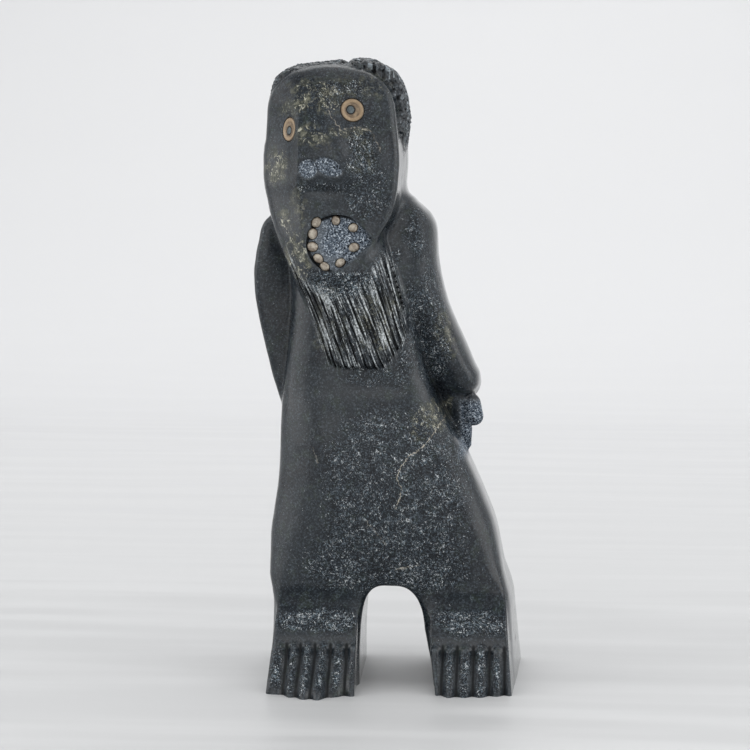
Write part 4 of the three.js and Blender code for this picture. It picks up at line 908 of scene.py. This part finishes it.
def node(tree, kind, sockets, **settings):
    """Adds a shader node with its settings and sockets."""
    made = tree.nodes.new("ShaderNode" + kind)
    for key, value in settings.items():
        setattr(made, key, value)
    return fill(tree, made, sockets)


def calc(operation, a, b=0.0, c=0.0):
    """One step of arithmetic on sockets or numbers, in the node tree that owns the first socket."""
    return node(a.id_data, "Math", {0: a, 1: b, 2: c}, operation=operation).outputs[0]


def times(first, *others):
    """The product of them all."""
    for other in others:
        first = calc("MULTIPLY", first, other)
    return first


def most(first, *others):
    """The greatest of them all."""
    for other in others:
        first = calc("MAXIMUM", first, other)
    return first


def step_up(value, low, high, bottom=0.0, top=1.0):
    """The smooth step from bottom, where the value is low, to top, where it is high."""
    sockets = {"Value": value, "From Min": low, "From Max": high, "To Min": bottom, "To Max": top}
    return node(value.id_data, "MapRange", sockets, interpolation_type="SMOOTHSTEP").outputs[0]


def mixed(factor, a, b):
    """Colour a where the factor is 0 and colour b where it is 1."""
    a, b = [colour if isinstance(colour, bpy.types.NodeSocket) else (*colour, 1) for colour in (a, b)]
    return node(factor.id_data, "Mix", {0: factor, 6: a, 7: b}, data_type="RGBA").outputs[2]


def cloud(place, size, detail=2.0, rough=0.5, distortion=0.0):
    """Noise whose hills are size millimetres across."""
    sockets = {"Vector": place, "Scale": 1 / size, "Detail": detail, "Roughness": rough,
               "Distortion": distortion}
    return node(place.id_data, "TexNoise", sockets).outputs[0]


def attribute(tree, name):
    """The number kept at each point under this name."""
    return node(tree, "Attribute", {}, attribute_name=name).outputs["Fac"]


def new_group(name, inputs, outputs):
    """A node group with the named inputs (socket type, default) and outputs, and its two end nodes."""
    group = bpy.data.node_groups.new(name, "ShaderNodeTree")
    for key, (kind, value) in inputs.items():
        socket = group.interface.new_socket(key, in_out="INPUT", socket_type=kind)
        if value is not None:
            socket.default_value = value
    for key in outputs:
        group.interface.new_socket(key, in_out="OUTPUT", socket_type="NodeSocketFloat")
    return group, group.nodes.new("NodeGroupInput").outputs, group.nodes.new("NodeGroupOutput").inputs


def use(tree, group, sockets):
    """Places a group in a material and gives its outputs."""
    made = tree.nodes.new("ShaderNodeGroup")
    made.node_tree = group
    return fill(tree, made, sockets).outputs


def new_material(name, per_metre=1000.0):
    """A material, its node tree, its shader, and object coordinates, in millimetres unless told otherwise."""
    made = bpy.data.materials.new(name)
    made.use_nodes = True
    tree = made.node_tree
    place = node(tree, "TexCoord", {}).outputs["Object"]
    place = node(tree, "VectorMath", {0: place, "Scale": per_metre}, operation="SCALE").outputs[0]
    return made, tree, tree.nodes["Principled BSDF"], place


def finish(tree, shader, colour, rough, height, strength, deep):
    """Feeds the shader its colour, its roughness and a bump, deep metres for each unit of height."""
    tree.links.new(colour, shader.inputs["Base Color"])
    tree.links.new(rough, shader.inputs["Roughness"])
    bump = node(tree, "Bump", {"Strength": strength, "Distance": deep, "Height": height})
    tree.links.new(bump.outputs[0], shader.inputs["Normal"])


# Fine pale flecks and short scratches: noise above a height that falls as the amount grows.
VECTOR, NUMBER = "NodeSocketVector", "NodeSocketFloat"
# Turn of each set of scratches, and its hills across, through and along.
SCRATCH_MARKS = [(0.6, (0.45, 0.6, 2.2)), (-0.8, (0.4, 0.6, 1.9)), (1.5, (0.5, 0.6, 2.0)),
                 (-0.1, (0.5, 0.6, 1.6))]
FLECKS, given, result = new_group("flecks", {"Place": (VECTOR, None), "Amount": (NUMBER, 0.5)},
                                  ["Mask", "Dark"])
cluster = cloud(given["Place"], 6.0, 4, 0.65)
amount = times(given["Amount"], step_up(cluster, 0.32, 0.66, 0.6, 1.2))
level = calc("MULTIPLY_ADD", amount, -0.2, 0.785)
spot = cloud(given["Place"], 0.62, 2.0, 0.7)
total = step_up(calc("SUBTRACT", spot, level), 0.0, 0.12)
for angle, size in SCRATCH_MARKS:
    turned = node(FLECKS, "VectorRotate", {"Vector": given["Place"], "Angle": angle}, rotation_type="Y_AXIS")
    turned = node(FLECKS, "VectorMath", {0: turned.outputs[0], 1: size}, operation="DIVIDE").outputs[0]
    lines = calc("SUBTRACT", cloud(turned, 1.0, 1.0), calc("ADD", level, 0.03))
    total = most(total, step_up(lines, 0.0, 0.1))
FLECKS.links.new(times(total, step_up(given["Amount"], 0.02, 0.25)), result["Mask"])
FLECKS.links.new(step_up(spot, 0.54, 0.42), result["Dark"])

# Fine grain for bump: broad soft dents and small pits.
GRAIN, given, result = new_group("grain", {"Place": (VECTOR, None), "Size": (NUMBER, 1.0)}, ["Height"])
scaled = node(GRAIN, "VectorMath", {0: given["Place"], 1: given["Size"]}, operation="DIVIDE").outputs[0]
broad = node(GRAIN, "TexNoise", {"Vector": scaled, "Scale": 0.35, "Detail": 3.0}).outputs[0]
pits = node(GRAIN, "TexVoronoi", {"Vector": scaled, "Scale": 1.1}).outputs["Distance"]
GRAIN.links.new(calc("MULTIPLY_ADD", pits, 0.35, broad), result["Height"])

INK, SLATE, MOSS, HAZE = (0.005, 0.007, 0.01), (0.009, 0.013, 0.017), (0.018, 0.026, 0.02), (0.2, 0.25, 0.3)
OLIVE_DARK, OCHRE, CREAM = (0.036, 0.038, 0.024), (0.165, 0.165, 0.125), (0.5, 0.49, 0.39)
TORN_DARK, TORN_GREY, TORN_PALE = (0.002, 0.003, 0.006), (0.115, 0.145, 0.185), (0.6, 0.66, 0.72)
GUM_GREY, PIT = (0.12, 0.135, 0.15), (0.003, 0.004, 0.006)
FLECK_GREY, FLECK_PALE = (0.12, 0.165, 0.2), (0.78, 0.82, 0.84)
RIDGE_HIGHLIGHT, CREST_HIGHLIGHT, CREASE_SHADE, STRAND = (0.2, 0.235, 0.26), (0.3, 0.34, 0.37), (0.003, 0.0035, 0.004), (0.72, 0.77, 0.79)
VEIN = (0.5, 0.46, 0.38)
STONE, tree, shader, place = new_material("dark_stone")
frost, olive, scrape, gum, bends, cuts_and_rim_shadow, tooled, bed, bearded, polish, dulled = (
    attribute(tree, name) for name in ("frost", "olive", "scrape", "gum", "bend", "cut", "tooled", "stroke",
                                       "bearded", "polish", "dull"))
slow, medium, small = cloud(place, 26, 3), cloud(place, 5.5, 3, 0.6), cloud(place, 1.7, 2, 0.6)
dust, torn = cloud(place, 1.15, 4, 0.8), cloud(place, 0.95, 3, 0.7, 0.6)
colour = mixed(step_up(slow, 0.35, 0.65), INK, SLATE)
colour = mixed(step_up(medium, 0.5, 0.72, 0, 0.8), colour, MOSS)
haze = times(frost, step_up(medium, 0.25, 0.75, 0.55, 1), step_up(dust, 0.46, 0.7))
colour = mixed(haze, colour, HAZE)

# Olive and cream mottling.
veil = times(olive, step_up(medium, 0.42, 0.58))
colour = mixed(times(veil, 0.7), colour, OLIVE_DARK)
ochre = step_up(cloud(place, 4.2, 4, 0.7, 0.7), 0.47, 0.62, 0, 0.85)
colour = mixed(times(veil, ochre), colour, OCHRE)
cream = step_up(cloud(place, 2.6, 4, 0.75, 1.0), 0.545, 0.64, 0, 0.9)
colour = mixed(times(step_up(olive, 0.45, 0.9), cream), colour, CREAM)

# Scraped stone, the smoother gum beside the teeth, and the flecks.
scraped = mixed(step_up(torn, 0.4, 0.52), TORN_DARK, TORN_GREY)
scraped = mixed(step_up(torn, 0.54, 0.64), scraped, TORN_PALE)
colour = mixed(times(scrape, 0.95), colour, scraped)
colour = mixed(times(gum, 0.6), colour, GUM_GREY)
fleck = use(tree, FLECKS, {"Place": place, "Amount": most(frost, times(scrape, 0.4))})
colour = mixed(times(fleck["Dark"], step_up(frost, 0.1, 0.8, 0, 0.95)), colour, PIT)
mask = times(fleck["Mask"], step_up(gum, 0, 0.5, 1, 0.1))
colour = mixed(mask, colour, mixed(step_up(small, 0.38, 0.72), FLECK_GREY, FLECK_PALE))

# The beard's fine strands: noise stretched along the filed lines.
height = node(tree, "SeparateXYZ", {0: place}).outputs["Z"]
strand = node(tree, "CombineXYZ", {"X": times(attribute(tree, "strand"), 3.4),
                                   "Y": times(height, 0.05)}).outputs[0]
strand = node(tree, "TexNoise", {"Vector": strand, "Scale": 1.0, "Detail": 3.0, "Roughness": 0.6},
              noise_dimensions="2D").outputs[0]
pale = times(step_up(strand, 0.52, 0.64), step_up(dust, 0.4, 0.6, 0.1, 1), bearded, 0.95)

# Painted highlights on the ridges, painted shade in the creases and grooves, painted highlights on the crests
# between the gouge strokes, and the pale strands.
# Convex ridges, and most of all the hair's, are painted paler: a painted highlight along the edges.
ridge_highlight = times(step_up(bends, 0.06, 0.26), step_up(small, 0.3, 0.6, 0.3, 1))
colour = mixed(times(ridge_highlight, step_up(tooled, 0, 1, 0.35, 0.8)), colour, RIDGE_HIGHLIGHT)
# Creases, filed grooves, the mouth's rim, the beds of the gouge strokes and the hollows between the beard's
# strands are painted near-black: painted shade.
crease_shade = most(step_up(bends, -0.06, -0.23), step_up(cuts_and_rim_shadow, 0.3, 0.85),
            times(step_up(bed, 0.36, 0.72), tooled, 0.95),
            times(step_up(strand, 0.43, 0.35), bearded))
# The crests between the gouge strokes in the hair are painted pale: a painted highlight.
crest_highlight = times(step_up(bed, 0.26, 0.1), tooled, step_up(small, 0.34, 0.56), 0.8)
colour = mixed(crest_highlight, colour, CREST_HIGHLIGHT)
colour = mixed(times(crease_shade, 0.92), colour, CREASE_SHADE)
colour = mixed(times(pale, step_up(cuts_and_rim_shadow, 1.1, 0.6)), colour, STRAND)

# The veins, thin and broken, wandering a little off their line.
wander = step_up(cloud(place, 1.6, 2), 0.3, 0.7, -0.5, 0.5)
across = calc("ABSOLUTE", calc("ADD", attribute(tree, "vein_across"), wander))
vein = times(step_up(across, 0.36, 0.1), step_up(attribute(tree, "vein_near"), 2.0, 1.2),
             step_up(small, 0.36, 0.58, 0.12, 1), attribute(tree, "vein_pale"))
colour = mixed(vein, colour, VEIN)

# Gloss and relief: frosted and scraped stone and the painted-shade creases are dull, and the turned-away
# planes are polished.
rough = calc("ADD", step_up(slow, 0.3, 0.7, 0.17, 0.25), step_up(medium, 0.4, 0.7, 0, 0.12))
rough = calc("ADD", rough, times(frost, 0.2))
rough = calc("ADD", rough, times(most(scrape, crease_shade, mask), 0.3))
rough = times(rough, step_up(polish, 0, 1, 1, 0.6))
grain = times(use(tree, GRAIN, {"Place": place, "Size": 1.6})["Height"],
              step_up(most(frost, scrape), 0, 1, 0.12, 0.9))
relief = calc("ADD", grain, times(mask, 0.5))
relief = calc("ADD", relief, times(strand, bearded, 2.5))
finish(tree, shader, colour, rough, relief, 0.75, 0.0004)
dull = most(times(frost, 0.85), scrape, crease_shade, dulled)
sheen = node(tree, "MapRange", {"Value": dull, "To Min": 0.5, "To Max": 0.1}).outputs[0]
tree.links.new(sheen, shader.inputs["Specular IOR Level"])
tree.links.new(times(polish, 0.35), shader.inputs["Coat Weight"])
shader.inputs["Coat Roughness"].default_value = 0.08
carving.data.materials.clear()
carving.data.materials.append(STONE)

# The eyes: a slice of antler in a shallow pocket, tan outside and browner in its dished middle,
# with a peg of grey-green stone in a hole off its centre. Colours follow the distance from the middle.
PUPIL_RADIUS, PUPIL_ASIDE, PUPIL_GAP = 2.3, -0.9, 0.13
RING_SIDES, PEG_SIDES = 72, 40
BROWN, TAN, BUFF = (0.085, 0.058, 0.034), (0.28, 0.2, 0.12), (0.44, 0.34, 0.22)
STREAK, RING_GAP_SHADOW = (0.2, 0.13, 0.07), (0.045, 0.03, 0.018)
ANTLER, tree, shader, place = new_material("antler")
out_from = attribute(tree, "out_from_middle")
grain = cloud(place, 0.9, 4, 0.65)
colour = mixed(step_up(out_from, 3.9, 4.6), BROWN, TAN)
colour = mixed(step_up(cloud(place, 3.0, 3), 0.4, 0.7, 0, 0.5), colour, BUFF)
colour = mixed(step_up(grain, 0.42, 0.62, 0.55, 0), colour, STREAK)
# The ring's outer edge and the edge of the pupil's hole are painted dark: painted shadow in the gaps round
# the slice and the peg.
edge = most(step_up(out_from, 5.5, 6.1), step_up(out_from, 2.9, 2.5))
colour = mixed(times(edge, 0.85), colour, RING_GAP_SHADOW)
finish(tree, shader, colour, step_up(grain, 0.3, 0.7, 0.38, 0.55),
       use(tree, GRAIN, {"Place": place, "Size": 0.7})["Height"], 0.4, 0.0002)

PUPIL_DARK, PUPIL_PALE = (0.028, 0.038, 0.042), (0.09, 0.118, 0.128)
PUPIL_FLECK, PUPIL_SEAM = (0.34, 0.4, 0.42), (0.004, 0.004, 0.004)
PUPIL, tree, shader, place = new_material("pupil_stone")
out_from = attribute(tree, "out_from_middle")
colour = mixed(step_up(cloud(place, 1.4, 3, 0.6), 0.35, 0.68), PUPIL_DARK, PUPIL_PALE)
colour = mixed(use(tree, FLECKS, {"Place": place, "Amount": 0.35})["Mask"], colour, PUPIL_FLECK)
colour = mixed(step_up(out_from, 1.65, 2.1), colour, PUPIL_SEAM)
finish(tree, shader, colour, step_up(out_from, 1.2, 1.9, 0.42, 0.6),
       use(tree, GRAIN, {"Place": place, "Size": 0.6})["Height"], 0.4, 0.0002)

# A slice from the foot of its hole, up its side and over its dished face; the peg ends in a low dome.
r, hole, top, foot = EYE_RADIUS, PUPIL_RADIUS + PUPIL_GAP, EYE_TOP, EYE_FOOT
slice_outline = np.array([
    (hole, foot), (r - 0.4, foot), (r, foot + 0.4), (r, top - 0.5), (r - 0.2, top - 0.15), (r - 0.6, top),
    (r - 1.2, top - 0.05), (4.5, top - 0.15), (4.1, top - 0.42), (3.4, top - 0.5), (hole + 0.25, top - 0.45),
    (hole, top - 0.65)])
p = PUPIL_RADIUS
peg_outline = np.array([(p, foot), (p, top - 0.75), (p * 0.94, top - 0.6), (p * 0.8, top - 0.5),
                        (p * 0.45, top - 0.42), (0.1, top - 0.4)])
for side, (x, z) in EYES.items():
    at, out = seat(x, z)
    inward = np.where(slice_outline[:, 0] <= hole + 0.3, PUPIL_ASIDE, 0)[:, None]
    points, faces = spun(slice_outline, at, out, RING_SIDES, shift=inward)
    last = (len(slice_outline) - 1) * RING_SIDES
    turn = np.arange(RING_SIDES)
    after = (turn + 1) % RING_SIDES
    faces = faces[:-2] + np.stack([last + turn, last + after, after, turn], 1).tolist()
    ring = mesh_of("eye_ring_" + side + "_slice", points, faces)
    keep(ring.data, "out_from_middle", np.repeat(slice_outline[:, 0], RING_SIDES))
    ring.data.set_sharp_from_angle(angle=np.radians(50))
    ring.data.materials.append(ANTLER)
    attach(ring, "root")
    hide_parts("eye_ring_" + side)

    pupil = mesh_of("pupil_" + side + "_peg", *spun(peg_outline, at, out, PEG_SIDES, shift=PUPIL_ASIDE))
    keep(pupil.data, "out_from_middle", np.repeat(peg_outline[:, 0], PEG_SIDES))
    pupil.data.materials.append(PUPIL)
    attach(pupil, "root")
    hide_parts("pupil_" + side)

# The teeth: nine short pegs of bone driven into sockets round the mouth, each a little different.
# The bone is stained in patches and darkens down each peg towards the gum.
BONE_DARK, BONE_PALE = (0.19, 0.155, 0.12), (0.41, 0.37, 0.305)
BONE_STAIN, BONE_ROOT = (0.1, 0.078, 0.058), (0.11, 0.08, 0.055)
TOOTH_RIPPLE = 0.03
IVORY, tree, shader, place = new_material("tooth_ivory")
colour = mixed(step_up(cloud(place, 3.2, 3), 0.35, 0.65), BONE_DARK, BONE_PALE)
colour = mixed(step_up(cloud(place, 1.1, 3, 0.6), 0.5, 0.68, 0, 0.8), colour, BONE_STAIN)
colour = mixed(step_up(attribute(tree, "along"), 0.94, 0.8, 0, 0.8), colour, BONE_ROOT)
finish(tree, shader, colour, step_up(cloud(place, 1.5), 0.3, 0.7, 0.3, 0.45),
       use(tree, GRAIN, {"Place": place, "Size": 0.8})["Height"], 0.35, 0.0002)

for i, place in enumerate(TEETH):
    peg = mesh_of(f"tooth_{i + 1}_peg", *tooth(place, 0, PEG_SIDES, TOOTH_RIPPLE, i + 1.0))
    keep(peg.data, "along", np.repeat(TOOTH_RISE, PEG_SIDES))
    peg.data.materials.append(IVORY)
    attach(peg, "root")
    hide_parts(f"tooth_{i + 1}")

# The studio: a pale painted board that runs back, past a seam, and turns up into the wall behind.
# Its section is flat, then a quarter of a circle, then upright, all in metres.
FLOOR_HALF, FLOOR_FRONT, FLOOR_BACK, SWEEP, WALL_TOP, SWEEP_STEPS = 3.0, -3.0, 1.2, 0.9, 3.0, 24
SEAM_Y, SEAM_SOFT, SEAM_WANDER = 0.262, 0.008, 0.004
FLOOR_DARK, FLOOR_PALE, FLOOR_SPECK = (0.5, 0.505, 0.51), (0.56, 0.565, 0.57), (0.4, 0.4, 0.39)
WALL_PAINTED_SHADE, WALL_PALE = (0.55, 0.555, 0.56), (0.71, 0.715, 0.725)
bow = np.linspace(0, np.pi / 2, SWEEP_STEPS)
sweep_y = [FLOOR_FRONT, FLOOR_BACK, *(FLOOR_BACK + SWEEP * np.sin(bow)), FLOOR_BACK + SWEEP]
sweep_z = [0, 0, *(SWEEP - SWEEP * np.cos(bow)), WALL_TOP]
corners = [(x, y, z) for y, z in zip(sweep_y, sweep_z) for x in (-FLOOR_HALF, FLOOR_HALF)]
mesh = bpy.data.meshes.new("floor")
mesh.from_pydata(corners, [], [(i, i + 1, i + 3, i + 2) for i in range(0, len(corners) - 2, 2)])
mesh.shade_smooth()
floor = bpy.data.objects.new("floor", mesh)
bpy.context.scene.collection.objects.link(floor)
PAINT, tree, shader, place = new_material("pale_floor", per_metre=1.0)
depth = node(tree, "SeparateXYZ", {0: place}).outputs["Y"]
wander = step_up(cloud(place, 0.3, 2), 0.3, 0.7, -SEAM_WANDER, SEAM_WANDER)
past_seam = step_up(calc("ADD", depth, wander), SEAM_Y, SEAM_Y + SEAM_SOFT)
streak = node(tree, "Mapping", {"Vector": place, "Scale": (3.0, 28.0, 1.0)}).outputs[0]
streak = cloud(streak, 1.0, 4.0)
colour = mixed(step_up(streak, 0.35, 0.65), FLOOR_DARK, FLOOR_PALE)
colour = mixed(step_up(cloud(place, 0.004, 3, 0.6), 0.7, 0.78, 0, 0.25), colour, FLOOR_SPECK)
# Behind the seam the board is painted darker near the seam and paler further back and up the wall: painted
# shade.
wall = mixed(step_up(depth, 0.2, 1.7), WALL_PAINTED_SHADE, WALL_PALE)
finish(tree, shader, mixed(past_seam, colour, wall), step_up(streak, 0.3, 0.7, 0.4, 0.55),
       streak, 0.15, 0.0006)
floor.data.materials.append(PAINT)


# Soft boxes all round, a bright even sky and the camera, which stands a little to the right of the
# figure and above its middle, as in the photograph. Each lamp has its place, aim, size and watts.
LAMPS = {"left_softbox": ((-1.6, -0.3, 0.8), (0, 0, 0.15), (1.4, 1.6), 13),
         "right_softbox": ((1.6, -0.2, 0.7), (0, 0, 0.15), (1.4, 1.6), 13),
         "top_softbox": ((0, -0.3, 2.2), (0, 0, 0.1), (2.2, 2.0), 8.5),
         "front_softbox": ((0, -2.3, 0.6), (0, 0, 0.1), (3.0, 1.4), 15),
         "back_softbox": ((0, 1.0, 1.7), (0, 0.1, 0), (1.4, 0.8), 8)}
SKY = 0.74
CAMERA_AT, CAMERA_AIM, CAMERA_LENS, CAMERA_SENSOR = (93.6, -1145.6, 268), (-6.6, 0, 165.7), 101, 36


def put(name, data, place, aim):
    """An object in the scene at its place, its -Z axis turned to the aim and its Y axis up."""
    made = bpy.data.objects.new(name, data)
    made.location = place
    made.rotation_euler = (Vector(aim) - Vector(place)).to_track_quat("-Z", "Y").to_euler()
    bpy.context.scene.collection.objects.link(made)
    return made


for name, (place, aim, size, power) in LAMPS.items():
    light = bpy.data.lights.new(name, "AREA")
    light.shape, light.size, light.size_y, light.energy = "RECTANGLE", *size, power
    put(name, light, place, aim).visible_camera = False

world = bpy.data.worlds.new("studio")
world.use_nodes = True
world.node_tree.nodes["Background"].inputs["Color"].default_value = (1, 1, 1, 1)
world.node_tree.nodes["Background"].inputs["Strength"].default_value = SKY
bpy.context.scene.world = world
bpy.context.scene.view_settings.view_transform = "Standard"

camera = bpy.data.cameras.new("camera")
camera.lens, camera.sensor_width = CAMERA_LENS, CAMERA_SENSOR
place, aim = ((np.array(point) - MIDDLE) / 1000 for point in (CAMERA_AT, CAMERA_AIM))
bpy.context.scene.camera = put("camera", camera, place, aim)
